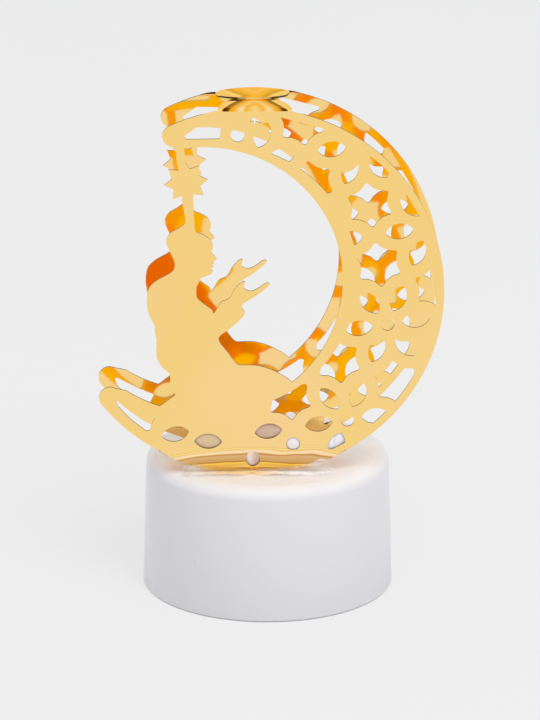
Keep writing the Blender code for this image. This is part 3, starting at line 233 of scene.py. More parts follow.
light = bpy.data.lights.new("key", "AREA")
light.shape = "DISK"
light.size = LAMP_WIDTH
light.energy = LAMP_POWER
lamp = bpy.data.objects.new("key", light)
lamp.visible_glossy = False
lamp.location = LAMP_PLACE
lamp.rotation_euler = (TARGET - LAMP_PLACE).to_track_quat("-Z", "Y").to_euler()
scene.collection.objects.link(lamp)

DISTANCE = 1.1
ELEVATION = math.radians(18.22)
AZIMUTH = math.radians(-0.7)
FOCAL_PIXELS = 5043.5
PHOTO_SIZE = (540.0, 720.0)
PHOTO_CENTRE = (267.55, 319.9)
FILM_HEIGHT = 24.0

camera = bpy.data.cameras.new("camera")
camera.sensor_fit = "VERTICAL"
camera.sensor_height = FILM_HEIGHT
camera.lens = FOCAL_PIXELS * FILM_HEIGHT / PHOTO_SIZE[1]
camera.shift_x = (PHOTO_SIZE[0] / 2.0 - PHOTO_CENTRE[0]) / PHOTO_SIZE[1]
camera.shift_y = (PHOTO_CENTRE[1] - PHOTO_SIZE[1] / 2.0) / PHOTO_SIZE[1]
camera.clip_start = 0.01
view = bpy.data.objects.new("camera", camera)
away = Vector((
    math.sin(AZIMUTH) * math.cos(ELEVATION), -math.cos(AZIMUTH) * math.cos(ELEVATION), math.sin(ELEVATION)))
view.location = TARGET + away * DISTANCE
view.rotation_euler = (-away).to_track_quat("-Z", "Y").to_euler()
scene.collection.objects.link(view)
scene.camera = view
scene.view_settings.view_transform = "Standard"


# Moon: one thin sheet of gilt metal, pierced and folded double round its foot.
# The holes are cut in half the flat blank, which is then bent along a path and mirrored for the
# rear half. Faces are near mirrors, with painted reflection bands over the foot and painted
# reflections on the tabs; the front plate's inner face glows with painted light. Sheared edges
# are dark brown, with a painted highlight along the tabs' top edges.

# Sizes in metres, directions in degrees; BAY is a circle, TIPs have a radius and a direction,
# TAB is its middle and width, and LOWER_BAY is where the bay's circle runs below the figure's back
SHEET = 0.0004
CIRCLE = 0.0412
CIRCLE_X = -0.00345
CIRCLE_Z = 0.0711
GAP = 0.0160
FRONT_Y = -0.0150
SHEET_FLOOR = 0.0307
BAY = (-0.0105, 0.0027, 0.0299)
LOWER_BAY = (251.5, 236.0)
UPPER_TIP = (0.00235, 115.6)
UPPER_TIP_END = 262.0
LOWER_TIP = (0.0024, 217.6)
LOWER_TIP_START = 62.0
CREASE = 0.0046
BULGE = 0.0010
BULGE_WAY = [(0.00082, 0.0030), (0.00030, 0.0042)]
BEND = 0.0015
FOOT_STEPS = 6
TAB = (0.0006, 0.0156)
TAB_OVERLAP = 0.0011
TAB_BEND = 0.0006
TAB_LIFT = 0.0002
REAR_TWIST = 0.072
REAR_SHIFT = -0.0004
CROWN = 0.0012
CROWN_STEP = 0.0004
CROWN_CUTS = 24
TAB_STEP = 0.0012
BURR = 0.00018
BURR_ANGLE = 60.0
SHARP_ANGLE = 35.0

GRID = (0.02905, -0.00715)
GRID_PITCH = 0.0234
GRID_TURN = 8.5
GRID_REACH = 5
DOT = 0.0015
DOT_LEAVES = 5
LEAF = (0.0061, 0.0035)
LEAF_RING = 0.0062
STAR = (0.0049, 0.0039)
STAR_HOLLOW = 0.00006
FIELD = 0.0396
INNER_FIELD = (-0.0074, 0.0033, 0.0301)
CLOSED_SPOTS = [(-0.0060, -0.0240, 0.0090), (-0.0040, 0.0343, 0.0010), (-0.0015, 0.0395, 0.0035)]
CLOSED_LEFT = -0.0085
SMALL_HOLE = 2.0e-6
LOWEST_HOLE = 0.0036
BAY_CORNER = 0.00012
LEAF_CORNER = 0.00025
DOT_CORNER = 0.0001
STAR_CORNER = 0.0003
SLOT_CORNER = 0.0005
FLAT_CORNER = 155.0

# The figure's drawing in millimetres, made for a bay of this radius
DRAWN_BAY = 29.7
STEM_LEFT = [(-16.1, 31.3), (-15.9, 28.9)]
STEM_RIGHT = [(-14.1, 29.0), (-14.3, 31.6)]
SUN = (-14.0, 24.6)
SUN_RAYS = (4.7, 3.05, 7.5)
HEAD_BACK = [(-14.9, 20.6), (-14.5, 18.2), (-14.2, 15.8), (-15.6, 14.5), (-17.4, 13.4), (-18.3, 11.6),
             (-17.8, 9.9), (-16.7, 7.4), (-16.5, 6.0), (-17.3, 4.6), (-20.4, 2.8), (-22.1, 0.9),
             (-22.5, -2.4), (-22.0, -5.0), (-20.9, -7.4), (-20.5, -10.4), (-20.5, -14.2), (-19.5, -16.4),
             (-18.0, -17.9), (-17.6, -19.2), (-17.6, -20.6), (-16.5, -22.9)]
TURBAN_FRONT = [(-8.4, 10.9), (-9.0, 12.0), (-10.4, 13.0), (-12.0, 13.8), (-12.3, 15.8), (-12.4, 18.2),
                (-12.5, 20.4)]
FACE = [(-10.9, 3.4), (-9.6, 3.9), (-8.7, 4.3), (-8.5, 4.9), (-8.8, 5.4), (-8.3, 5.8), (-8.6, 6.15),
        (-8.2, 6.6), (-8.5, 7.0), (-7.6, 7.5), (-8.2, 8.4), (-8.7, 9.1), (-8.4, 9.9)]
CHEST_AND_HANDS = [(-2.7, -16.25), (-3.6, -15.7), (-5.4, -13.2), (-7.0, -11.0), (-7.0, -9.7), (-5.2, -8.3),
                   (-3.1, -6.5), (-1.6, -4.6), (-2.2, -3.3), (-1.9, -2.4), (0.9, -0.6), (3.2, 1.3),
                   (3.7, 2.1), (2.7, 2.1), (1.5, 1.2), (-0.3, 0.4), (-1.8, 1.1), (-1.5, 2.5), (-2.4, 2.3),
                   (-3.9, 0.6), (-4.9, -1.2), (-6.6, -2.0), (-7.6, -3.6), (-8.3, -4.5), (-8.8, -3.6),
                   (-11.1, -1.8), (-11.9, -0.6), (-11.9, 1.4)]
LAP = [(6.0, -18.3), (3.3, -17.0), (0.6, -16.3)]
CUSP = (8.3, -19.9)

# Single openings in millimetres; a loose leaf also has its turn in degrees
UPPER_SLOT = [(-14.5, 35.0), (-14.1, 34.3), (-6.9, 34.4), (-6.6, 37.0), (-11.5, 37.2)]
LOWER_SLOT = [(-29.6, -23.7), (-29.1, -25.6), (-26.4, -28.6), (-23.1, -31.3), (-22.2, -31.3), (-21.8, -29.7),
              (-20.9, -28.0), (-24.7, -26.3), (-28.6, -24.1)]
LOOSE_LEAVES = [(-16.7, -32.0, 12.0), (-9.6, -33.7, -2.0)]
LOOSE_DOTS = [(8.8, -34.4), (0.1, -37.6), (-3.1, 35.2)]
NICK = [(-0.6, 38.25), (-0.1, 38.75), (0.4, 39.15), (1.1, 38.55), (2.15, 37.85), (1.3, 38.05), (0.75, 38.2),
        (0.5, 37.15), (0.35, 38.3), (0.0, 38.25)]


def polar(centre, radius, degrees):
    """A point on a circle."""
    turn = math.radians(degrees)
    return (centre[0] + radius * math.cos(turn), centre[1] + radius * math.sin(turn))


def arc(centre, radius, start, end, steps):
    """Points on a circle between two directions in degrees."""
    return [polar(centre, radius, start + (end - start) * step / steps) for step in range(steps + 1)]


def flowing(points, steps=4):
    """A smooth line through a few points."""
    line = []
    for index in range(len(points) - 1):
        before = Vector(points[max(index - 1, 0)])
        here = Vector(points[index])
        after = Vector(points[index + 1])
        beyond = Vector(points[min(index + 2, len(points) - 1)])
        for step in range(steps):
            t = step / steps
            bend_in = (after - before) * 0.5
            bend_out = (beyond - here) * 0.5
            point = here * (2 * t ** 3 - 3 * t ** 2 + 1) + bend_in * (t ** 3 - 2 * t ** 2 + t)
            point += after * (3 * t ** 2 - 2 * t ** 3) + bend_out * (t ** 3 - t ** 2)
            line.append(tuple(point))
    line.append(points[-1])
    return line


def eased(outline, radius, steps=3):
    """The outline with its sharp corners rounded."""
    points = []
    for index, point in enumerate(outline):
        here = Vector(point)
        back = Vector(outline[index - 1]) - here
        ahead = Vector(outline[(index + 1) % len(outline)]) - here
        if back.length < 1e-9 or ahead.length < 1e-9:
            continue
        turn = back.angle(ahead)
        if turn > math.radians(FLAT_CORNER):
            points.append(point)
            continue
        trim = min(radius / math.tan(turn / 2.0), back.length * 0.45, ahead.length * 0.45)
        first = here + back.normalized() * trim
        last = here + ahead.normalized() * trim
        for step in range(steps + 1):
            t = step / steps
            points.append(tuple(first * (1 - t) ** 2 + here * 2 * t * (1 - t) + last * t ** 2))
    return points


def drawn(points):
    """Points of the figure's drawing, in metres at the bay's size."""
    scale = BAY[2] / DRAWN_BAY
    return [(x * scale, z * scale) for x, z in points]


def metres(points):
    return [(x / 1000.0, z / 1000.0) for x, z in points]


def bay_turn(point):
    """The direction of a point from the bay's centre, in degrees."""
    return math.degrees(math.atan2(point[1] - BAY[1], point[0] - BAY[0]))


def sun_edge(first, last):
    """Tips and waists of the eight-pointed sun, in steps of half a ray."""
    tip, waist, turn = SUN_RAYS
    return [polar(SUN, waist if step % 2 else tip, turn + 22.5 * step) for step in range(first, last + 1)]


def fold_path():
    """Depth from the mid-plane and height over the foot, from the foot's middle to the tab's end."""
    half = GAP / 2.0
    low = half + BULGE - BEND
    path = [(low * step / FOOT_STEPS, 0.0) for step in range(FOOT_STEPS)]
    path += [(low + x, BEND + z) for x, z in arc((0.0, 0.0), BEND, -90.0, 8.0, 14)]
    bulge = [(half + out, up) for out, up in BULGE_WAY]
    path += flowing([path[-1]] + bulge + [(half, CREASE)], 6)[1:]
    path += [(half, CREASE + (top_crease() - TAB_BEND - CREASE) * step / 12.0) for step in range(1, 13)]
    return path


def top_crease():
    """Height over the foot at which the tabs fold in."""
    reach = abs(TAB[0]) + TAB[1] / 2.0
    return math.sqrt(CIRCLE ** 2 - reach ** 2) + CIRCLE_Z - SHEET_FLOOR


def path_lengths(path):
    lengths = [0.0]
    for first, second in zip(path, path[1:]):
        lengths.append(lengths[-1] + math.dist(first, second))
    return lengths


PATH = fold_path()
LENGTHS = path_lengths(PATH)
TOP_LENGTH = LENGTHS[-1]


def on_blank(point):
    """From a place in the front view to its place on the flat blank."""
    height = point[1] + CIRCLE_Z - SHEET_FLOOR
    for index in range(FOOT_STEPS, len(PATH) - 1):
        low, high = PATH[index][1], PATH[index + 1][1]
        if height <= high:
            share = (height - low) / (high - low) if high > low else 0.0
            return (point[0], LENGTHS[index] + (LENGTHS[index + 1] - LENGTHS[index]) * max(share, 0.0))
    return (point[0], TOP_LENGTH + height - PATH[-1][1])


def blank_edge():
    """The outer edge of half the blank: circle, tab, tips, stem, sun, the figure's back and the foot."""
    drop = CIRCLE_Z - SHEET_FLOOR
    foot = math.sqrt(CIRCLE ** 2 - drop ** 2)
    start = math.degrees(math.atan2(-drop, foot))
    crown = top_crease() - CIRCLE_Z + SHEET_FLOOR
    right = math.degrees(math.atan2(crown, TAB[0] + TAB[1] / 2.0))
    left = math.degrees(math.atan2(crown, TAB[0] - TAB[1] / 2.0))
    edge = [on_blank(point) for point in arc((0.0, 0.0), CIRCLE, start, right, 150)]
    half = TAB[1] / 2.0
    reach = GAP / 2.0 + TAB_OVERLAP
    radius = (half ** 2 + reach ** 2) / (2.0 * reach)
    swing = math.degrees(math.asin((reach - radius) / radius))
    crease = TOP_LENGTH + TAB_BEND
    edge += arc((TAB[0], crease + reach - radius), radius, -swing, 180.0 + swing, 48)[1:-1]
    size, turn = UPPER_TIP
    tip = polar((0.0, 0.0), CIRCLE - size, turn)
    rest = arc((0.0, 0.0), CIRCLE, left, turn, 20)[:-1] + arc(tip, size, turn, UPPER_TIP_END, 20)
    rest += drawn(STEM_LEFT + sun_edge(5, 11) + flowing(HEAD_BACK))
    rest += arc(BAY[:2], BAY[2], *LOWER_BAY, 10)
    size, turn = LOWER_TIP
    tip = polar((0.0, 0.0), CIRCLE - size, turn)
    rest += arc(tip, size, LOWER_TIP_START, turn, 16)
    rest += arc((0.0, 0.0), CIRCLE, turn, 180.0 - start, 60)[1:]
    edge += [on_blank(point) for point in rest]
    return [(foot, 0.0)] + edge + [(-foot, 0.0)]


def bay_edge():
    """The open bay: the crescent's inner circle, then the lap, hands, face, turban and sun."""
    start = bay_turn(drawn([STEM_RIGHT[1]])[0])
    edge = arc(BAY[:2], BAY[2], start, bay_turn(drawn([CUSP])[0]), 110)
    edge += drawn(flowing([CUSP] + LAP + [CHEST_AND_HANDS[0]])[1:-1])
    edge += drawn(flowing(CHEST_AND_HANDS)) + drawn(flowing(FACE, 3)) + drawn(flowing(TURBAN_FRONT))
    return edge + drawn(sun_edge(-3, 3)) + drawn([STEM_RIGHT[0]])


def clipped(outline, centre, limit, inside):
    """The part of a hole inside, or outside, a circle."""
    reach = [math.dist(point, centre) for point in outline]
    kept = []
    gone = None
    for index, point in enumerate(outline):
        was = (reach[index - 1] <= limit) == inside
        now = (reach[index] <= limit) == inside
        if was != now:
            share = (limit - reach[index - 1]) / (reach[index] - reach[index - 1])
            crossing = tuple(Vector(outline[index - 1]).lerp(Vector(point), share))
            if was:
                gone = crossing
                kept.append(crossing)
            else:
                if gone is not None:
                    kept += along_circle(gone, crossing, centre, limit)
                kept.append(crossing)
        if now:
            kept.append(point)
    return kept


def along_circle(first, last, centre, limit):
    """Three points of the circle between two others."""
    points = []
    for share in (0.25, 0.5, 0.75):
        towards = Vector(first).lerp(Vector(last), share) - Vector(centre)
        points.append(tuple(Vector(centre) + towards.normalized() * limit))
    return points


def opened(outline, centre, corner):
    """One finished hole, or nothing where the sheet stays closed."""
    if centre[0] < CLOSED_LEFT or any(math.dist(centre, (x, z)) < reach for x, z, reach in CLOSED_SPOTS):
        return []
    outline = clipped(outline, (0.0, 0.0), FIELD, True)
    if outline:
        outline = clipped(outline, INNER_FIELD[:2], INNER_FIELD[2], False)
    surface = sum(a[0] * b[1] - b[0] * a[1] for a, b in zip(outline, outline[1:] + outline[:1])) / 2.0
    low = LOWEST_HOLE - CIRCLE_Z + SHEET_FLOOR
    if len(outline) < 3 or abs(surface) < SMALL_HOLE or min(z for _, z in outline) < low:
        return []
    return [eased(outline, corner)]


def dot_edge(centre):
    return arc(centre, DOT, 0.0, 360.0, 32)[:-1]


def leaf_edge(centre, turn):
    length, width = LEAF
    radius = (length ** 2 + width ** 2) / (4.0 * width)
    swing = math.degrees(math.asin(length / 2.0 / radius))
    bow = radius - width / 2.0
    edge = arc((0.0, -bow), radius, 90.0 + swing, 90.0 - swing, 10)[:-1]
    edge += arc((0.0, bow), radius, -90.0 + swing, -90.0 - swing, 10)[:-1]
    cos, sin = math.cos(math.radians(turn)), math.sin(math.radians(turn))
    return [(centre[0] + x * cos - z * sin, centre[1] + x * sin + z * cos) for x, z in edge]


def star_edge(centre):
    corner, waist = STAR
    shoulder = 0.4 * corner + 0.6 * waist
    edge = []
    for ray in range(6):
        turn = GRID_TURN + 30.0 + 60.0 * ray
        for swing, radius in ((-3.0, corner), (3.0, corner), (11.0, shoulder), (20.0, waist),
                              (30.0, waist - STAR_HOLLOW), (40.0, waist), (49.0, shoulder)):
            edge.append(polar(centre, radius, turn + swing))
    return edge


def pierced_field():
    """All the holes: the lattice, two slots at the tips, the nick, and the loose leaves and dots."""
    holes = []
    for column in range(-GRID_REACH, GRID_REACH + 1):
        for row in range(-GRID_REACH, GRID_REACH + 1):
            first = polar(GRID, GRID_PITCH * column, GRID_TURN)
            middle = polar(first, GRID_PITCH * row, GRID_TURN + 60.0)
            ring = arc(middle, LEAF_RING, GRID_TURN, GRID_TURN + 300.0, 5)
            leaves = []
            for side, centre in enumerate(ring):
                leaves += opened(leaf_edge(centre, GRID_TURN + 60.0 * side), centre, LEAF_CORNER)
            holes += leaves
            if len(leaves) >= DOT_LEAVES:
                holes += opened(dot_edge(middle), middle, DOT_CORNER)
            for turn in (30.0, 90.0):
                centre = polar(middle, GRID_PITCH / math.sqrt(3.0), GRID_TURN + turn)
                holes += opened(star_edge(centre), centre, STAR_CORNER)
    for slot in (UPPER_SLOT, LOWER_SLOT):
        holes.append(eased(metres(slot), SLOT_CORNER, 5))
    for x, z, turn in LOOSE_LEAVES:
        holes.append(eased(leaf_edge(metres([(x, z)])[0], turn), LEAF_CORNER))
    holes.append(metres(NICK))
    return holes + [dot_edge(centre) for centre in metres(LOOSE_DOTS)]


def inside(point, outline):
    """Whether a line from the point crosses the outline an odd number of times."""
    odd = False
    for (x1, y1), (x2, y2) in zip(outline, outline[1:] + outline[:1]):
        if (y1 > point.y) != (y2 > point.y) and point.x < x1 + (x2 - x1) * (point.y - y1) / (y2 - y1):
            odd = not odd
    return odd


def flat_blank():
    """Half the blank as a flat pierced mesh, with extra edges across it wherever it bends."""
    outer = blank_edge()
    outlines = [eased(bay_edge(), BAY_CORNER)] + pierced_field()
    openings = [[on_blank(point) for point in outline] for outline in outlines]
    points = []
    edges = []
    for loop in [outer] + openings:
        first = len(points)
        points += [Vector(point) for point in loop]
        edges += [(first + index, first + (index + 1) % len(loop)) for index in range(len(loop))]
    filled = geometry.delaunay_2d_cdt(points, edges, [], 0, 1e-8)
    blank = bmesh.new()
    corners = [blank.verts.new((*point, 0.0)) for point in filled[0]]
    for triangle in filled[2]:
        centre = sum((filled[0][index] for index in triangle), Vector((0.0, 0.0))) / 3.0
        if inside(centre, outer) and not any(inside(centre, opening) for opening in openings):
            blank.faces.new([corners[index] for index in triangle])
    loose = [corner for corner in blank.verts if not corner.link_faces]
    bmesh.ops.delete(blank, geom=loose, context="VERTS")
    crown = TOP_LENGTH + TAB_BEND - CROWN
    cuts = LENGTHS[FOOT_STEPS + 1:] + [crown + CROWN_STEP * step for step in range(3)]
    cuts += [TOP_LENGTH + TAB_BEND * step / 6.0 for step in range(1, 10)]
    cuts += [TOP_LENGTH + TAB_STEP * step for step in range(1, 8)]
    for cut in cuts:
        whole = blank.verts[:] + blank.edges[:] + blank.faces[:]
        line = (0.0, cut, 0.0)
        bmesh.ops.bisect_plane(blank, geom=whole, dist=1e-7, plane_co=line, plane_no=(0.0, 1.0, 0.0))
    for step in range(1 - CROWN_CUTS // 2, CROWN_CUTS // 2):
        top = [face for face in blank.faces if face.calc_center_median().y > crown]
        near = list({vert for face in top for vert in face.verts})
        near += list({edge for face in top for edge in face.edges})
        across = (TAB[0] + TAB[1] * step / CROWN_CUTS, 0.0, 0.0)
        bmesh.ops.bisect_plane(blank, geom=near + top, dist=1e-7, plane_co=across, plane_no=(1.0, 0.0, 0.0))
    bmesh.ops.triangulate(blank, faces=[face for face in blank.faces if len(face.verts) > 4])
    return blank


class Shape(Tree):
    """A Geometry Nodes tree with named sizes, put on an object and then made a plain mesh."""

    def __init__(self, name, **sizes):
        super().__init__(bpy.data.node_groups.new(name, "GeometryNodeTree"))
        face = self.tree.interface
        face.new_socket("Geometry", in_out="INPUT", socket_type="NodeSocketGeometry")
        face.new_socket("Geometry", in_out="OUTPUT", socket_type="NodeSocketGeometry")
        self.sizes = {}
        for label, size in sizes.items():
            title = label.replace("_", " ").capitalize()
            kind = "NodeSocketInt" if isinstance(size, int) else "NodeSocketFloat"
            self.sizes[title] = (face.new_socket(title, in_out="INPUT", socket_type=kind).identifier, size)
        self.given = self.tree.nodes.new("NodeGroupInput")
        self.result = self.tree.nodes.new("NodeGroupOutput")

    def input(self, title):
        return Value(self, self.given.outputs[title])

    def finish(self, value, material):
        """Ends the tree: real geometry with a material."""
        self.material = material
        solid = self.add("GeometryNodeRealizeInstances", {}, value)
        dressed = self.add("GeometryNodeSetMaterial", {}, solid, None, material)
        self.tree.links.new(dressed.socket, self.result.inputs[0])

    def grow(self, name, start, **changes):
        """Runs the tree on a start mesh, with some of its sizes changed, and returns a plain object."""
        seed = bpy.data.objects.new(name + "_seed", start)
        scene.collection.objects.link(seed)
        run = seed.modifiers.new("shape", "NODES")
        run.node_group = self.tree
        for title, (identifier, size) in self.sizes.items():
            run[identifier] = changes.get(title.lower().replace(" ", "_"), size)
        grown = seed.evaluated_get(bpy.context.evaluated_depsgraph_get())
        mesh = bpy.data.meshes.new_from_object(grown)
        mesh.materials.clear()
        mesh.materials.append(self.material)
        for face in mesh.polygons:
            face.material_index = 0
        seed.modifiers.remove(run)
        bpy.data.objects.remove(seed)
        mesh.name = name
        piece = bpy.data.objects.new(name, mesh)
        scene.collection.objects.link(piece)
        return piece


def path_mesh():
    """The fold path with its tab, as a line of edges: the tab turns in on a small bend."""
    half = GAP / 2.0
    top = PATH[-1][1]
    line = [(depth, height) for depth, height in PATH]
    line += [(half - TAB_BEND + x, top + z) for x, z in arc((0.0, 0.0), TAB_BEND, 0.0, 90.0, 8)[1:]]
    line += [(half - TAB_BEND - step * 0.001, top + TAB_BEND) for step in range(1, 12)]
    bm = bmesh.new()
    corners = [bm.verts.new((0.0, depth, height)) for depth, height in line]
    for first, second in zip(corners, corners[1:]):
        bm.edges.new((first, second))
    return mesh_of(bm, "fold_path")


fold_line = bpy.data.objects.new("fold_path", path_mesh())
scene.collection.objects.link(fold_line)


def linear(red, green, blue):
    """A mirror's colour as seen on a screen, as a share of the bright room in it."""
    shares = []
    for part in (red, green, blue):
        part = part / 255.0
        share = part / 12.92 if part <= 0.04045 else ((part + 0.055) / 1.055) ** 2.4
        shares.append(min(share / MIRRORED[0], 1.0))
    return tuple(shares)


# Top and height of the painted reflection bands over the foot
PAINTED_BANDS_TOP = SHEET_FLOOR + CREASE
PAINTED_BANDS_HEIGHT = 0.0058
TAB_FLOOR = SHEET_FLOOR + top_crease() - TAB_BEND
GOLD = linear(244, 209, 134)

gilt = Finish("gilt_face", Metallic=1.0)
gilt.shader.inputs["Specular Tint"].default_value = (1.0, 0.78, 0.42, 1.0)
plain = gilt.ramp(gilt.noise(28.0, 1.0), [
    (0.30, linear(246, 209, 142)), (0.45, GOLD), (0.60, linear(244, 207, 126)),
    (0.72, linear(245, 208, 140))])
# Over the foot, the front of the sheet is painted in wavy bands by height, pale, tan and dark brown: painted
# reflections and painted highlights.
sideways = (gilt.axis(0) - (CIRCLE_X + 0.004)) / 0.020
sag = 0.0006 - 0.0013 * sideways * sideways
waves = (gilt.noise(75.0, 2.0, stretch=(1.0, 0.0, 3.0)) - 0.5) * 0.0020
depth = (PAINTED_BANDS_TOP - gilt.axis(2) + sag + waves) / PAINTED_BANDS_HEIGHT
bands = gilt.ramp(depth, [
    (0.0, linear(226, 172, 88)), (0.03, linear(255, 226, 150)), (0.08, linear(240, 190, 110)),
    (0.12, linear(255, 224, 180)), (0.19, linear(250, 214, 160)), (0.22, linear(196, 140, 74)),
    (0.28, linear(220, 176, 120)), (0.46, linear(208, 158, 92)), (0.50, linear(180, 118, 40)),
    (0.53, linear(250, 200, 90)), (0.62, linear(236, 180, 74)), (0.68, linear(255, 214, 120)),
    (0.78, linear(232, 174, 70)), (0.84, linear(255, 232, 196)), (0.90, linear(240, 196, 130)),
    (1.0, linear(244, 224, 200))])
front_half = gilt.axis(1) < FRONT_Y + 0.0030
bands = gilt.blend((depth > 0.0) * front_half, plain, bands)
# On the tabs the colour is painted reflection: dark brown streaks and bright bands that follow the tabs'
# edges, and a brighter gold on the rear tab.
reach = ((gilt.axis(0) - (CIRCLE_X + TAB[0])) / (TAB[1] / 2.0)).size()
inward = (gilt.axis(1) - (FRONT_Y + GAP / 2.0)).size() / (GAP / 2.0)
streak = reach + 0.55 * (1.0 - inward)
streak = (streak + (gilt.noise(200.0, 2.0, stretch=(1.0, 1.0, 0.0)) - 0.5) * 0.16) / 1.4
painted_tab_reflection = gilt.ramp(streak, [
    (0.0, linear(250, 210, 130)), (0.16, linear(245, 180, 50)), (0.26, linear(250, 220, 160)),
    (0.40, linear(246, 176, 30)), (0.47, linear(236, 160, 20)), (0.52, linear(120, 62, 4)),
    (0.60, linear(50, 20, 2)), (0.63, linear(180, 110, 14)), (0.66, linear(252, 226, 150)), (0.80, GOLD)])
rear_tab = (gilt.axis(1) > FRONT_Y + GAP / 2.0 - 0.0012) * (streak < 0.65) * 0.65
painted_tab_reflection = gilt.blend(rear_tab, painted_tab_reflection, linear(248, 188, 52))
gilt.feed("Base Color", gilt.blend(gilt.axis(2) > TAB_FLOOR + 0.0007, bands, painted_tab_reflection))
gilt.feed("Roughness", 0.05 + gilt.noise(700.0, 2.0) * 0.04)
gilt.bump(gilt.noise(70.0, 1.0), 0.05, 0.0006)

# The inner face glows orange: painted light for the reflections bouncing between the two plates.
inner_glow = Finish("gilt_inner_face", Metallic=1.0, Emission_Strength=1.0)
inner_glow.feed("Base Color", inner_glow.blend(inner_glow.noise(60.0, 2.0), (0.62, 0.56, 0.0), (0.60, 0.52, 0.0)))
inner_glow.feed("Emission Color", inner_glow.blend(inner_glow.noise(60.0, 2.0), (0.42, 0.115, 0.0), (0.44, 0.13, 0.0)))
inner_glow.feed("Roughness", 0.05 + inner_glow.noise(700.0, 2.0) * 0.04)
inner_glow.bump(inner_glow.noise(70.0, 1.0), 0.05, 0.0006)

shear = Finish("sheared_edge", Metallic=0.6, Roughness=0.4)
dull = shear.blend(shear.noise(900.0, 2.0), (0.03, 0.012, 0.002), (0.10, 0.045, 0.007))
# Near the tabs' middle the top edges are painted bright yellow: a painted highlight.
middle = (shear.axis(0) - (CIRCLE_X + TAB[0])).size().between(0.0040, 0.0024)
shear.feed("Base Color", shear.blend((shear.axis(2) > TAB_FLOOR + 0.0004) * middle, dull, (1.0, 0.84, 0.36)))

fold = Shape("folded_double", circle_radius=CIRCLE, tab_middle=TAB[0], tab_width=TAB[1],
             crown_base=top_crease() - CIRCLE_Z + SHEET_FLOOR, crown_start=TOP_LENGTH + TAB_BEND - CROWN,
             tab_start=TOP_LENGTH, tab_reach=GAP / 2.0, tab_lift=TAB_LIFT, twist=REAR_TWIST, shift=REAR_SHIFT,
             twist_start=0.001, twist_end=0.009)
where = fold.add("GeometryNodeInputPosition", {})
across = fold.add("ShaderNodeSeparateXYZ", {}, where, output=0)
along = fold.add("ShaderNodeSeparateXYZ", {}, where, output=1)
line = fold.add("GeometryNodeObjectInfo", {}, fold_line, output="Geometry")
line = fold.add("GeometryNodeMeshToCurve", {}, line)
bent = fold.add("GeometryNodeSampleCurve", {"mode": "LENGTH", "use_all_curves": True}, output="Position",
                named={"Curves": line, "Length": along})
out = fold.add("ShaderNodeSeparateXYZ", {}, bent, output=1)
up = fold.add("ShaderNodeSeparateXYZ", {}, bent, output=2)
radius = fold.input("Circle radius")
rise = (radius * radius - across * across).root() - fold.input("Crown base")
in_tab = ((across - fold.input("Tab middle")).size() - fold.input("Tab width") / 2.0).between(0.0, -0.0012)
rise = rise * in_tab * along.between(fold.input("Crown start"), fold.input("Tab start"))
lift = ((along - fold.input("Tab start")) / fold.input("Tab reach")).between(0.0, 1.0, False)
lift = lift * fold.input("Tab lift")
turned = along.between(fold.input("Twist start"), fold.input("Twist end"), False)
halves = fold.tree.nodes.new("GeometryNodeJoinGeometry")
for side in (-1.0, 1.0):
    rear = (side + 1.0) / 2.0
    back = out * side + turned * across * fold.input("Twist") * rear
    place = fold.add("ShaderNodeCombineXYZ", {}, across + turned * fold.input("Shift") * rear, back,
                     up + rise + lift * side)
    half = fold.add("GeometryNodeSetPosition", {}, fold.input("Geometry"), None, place)
    if side > 0.0:
        half = fold.add("GeometryNodeFlipFaces", {}, half)
    fold.tree.links.new(half.socket, halves.inputs[0])
whole = Value(fold, halves.outputs[0])
whole = fold.add("GeometryNodeMergeByDistance", {}, whole, named={"Distance": 0.000002})
foot = (CIRCLE_X, FRONT_Y + GAP / 2.0, SHEET_FLOOR)
whole = fold.add("GeometryNodeTransform", {}, whole, named={"Translation": foot})
fold.finish(whole, gilt.material)

moon = fold.grow("gilt_moon", mesh_of(flat_blank(), "blank"))
bpy.data.objects.remove(fold_line)
moon.data.materials.append(shear.material)
moon.data.materials.append(inner_glow.material)
wall = moon.modifiers.new("thickness", "SOLIDIFY")
wall.thickness = SHEET
wall.offset = 0.0
wall.use_even_offset = True
wall.material_offset_rim = 1
burr = moon.modifiers.new("burr", "BEVEL")
burr.width = BURR
burr.segments = 1
burr.limit_method = "ANGLE"
burr.angle_limit = math.radians(BURR_ANGLE)
burr.material = 1
thick = bpy.data.meshes.new_from_object(moon.evaluated_get(bpy.context.evaluated_depsgraph_get()))
moon.modifiers.clear()
moon.data = thick
for corner in thick.vertices:
    corner.co.x = max(corner.co.x, cad_box[0][0])
# Faces on the back of the front plate, towards the rear plate, take the glowing finish of painted light.
for face in thick.polygons:
    if face.material_index == 0 and face.normal.y > 0.5 and face.center.y < FRONT_Y + GAP / 2.0:
        face.material_index = 2
thick.shade_smooth()
thick.set_sharp_from_angle(angle=math.radians(SHARP_ANGLE))
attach(moon, "lamp")
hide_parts("moon_sheet")


# Base: a cup of glossy white plastic, moulded in one piece, with a plate of satin plastic under it.
# The cup is turned from its profile; its top is painted lighter and warmer, a thin painted contact
# shadow runs round its foot, and a few specks lie on it.

BASE_TOP = 0.0302
BASE_RADIUS = 0.0275
BASE_DRAFT = 0.0008
BASE_EDGE = 0.0030
BASE_WALL = 0.0018
BASE_SIDES = 192


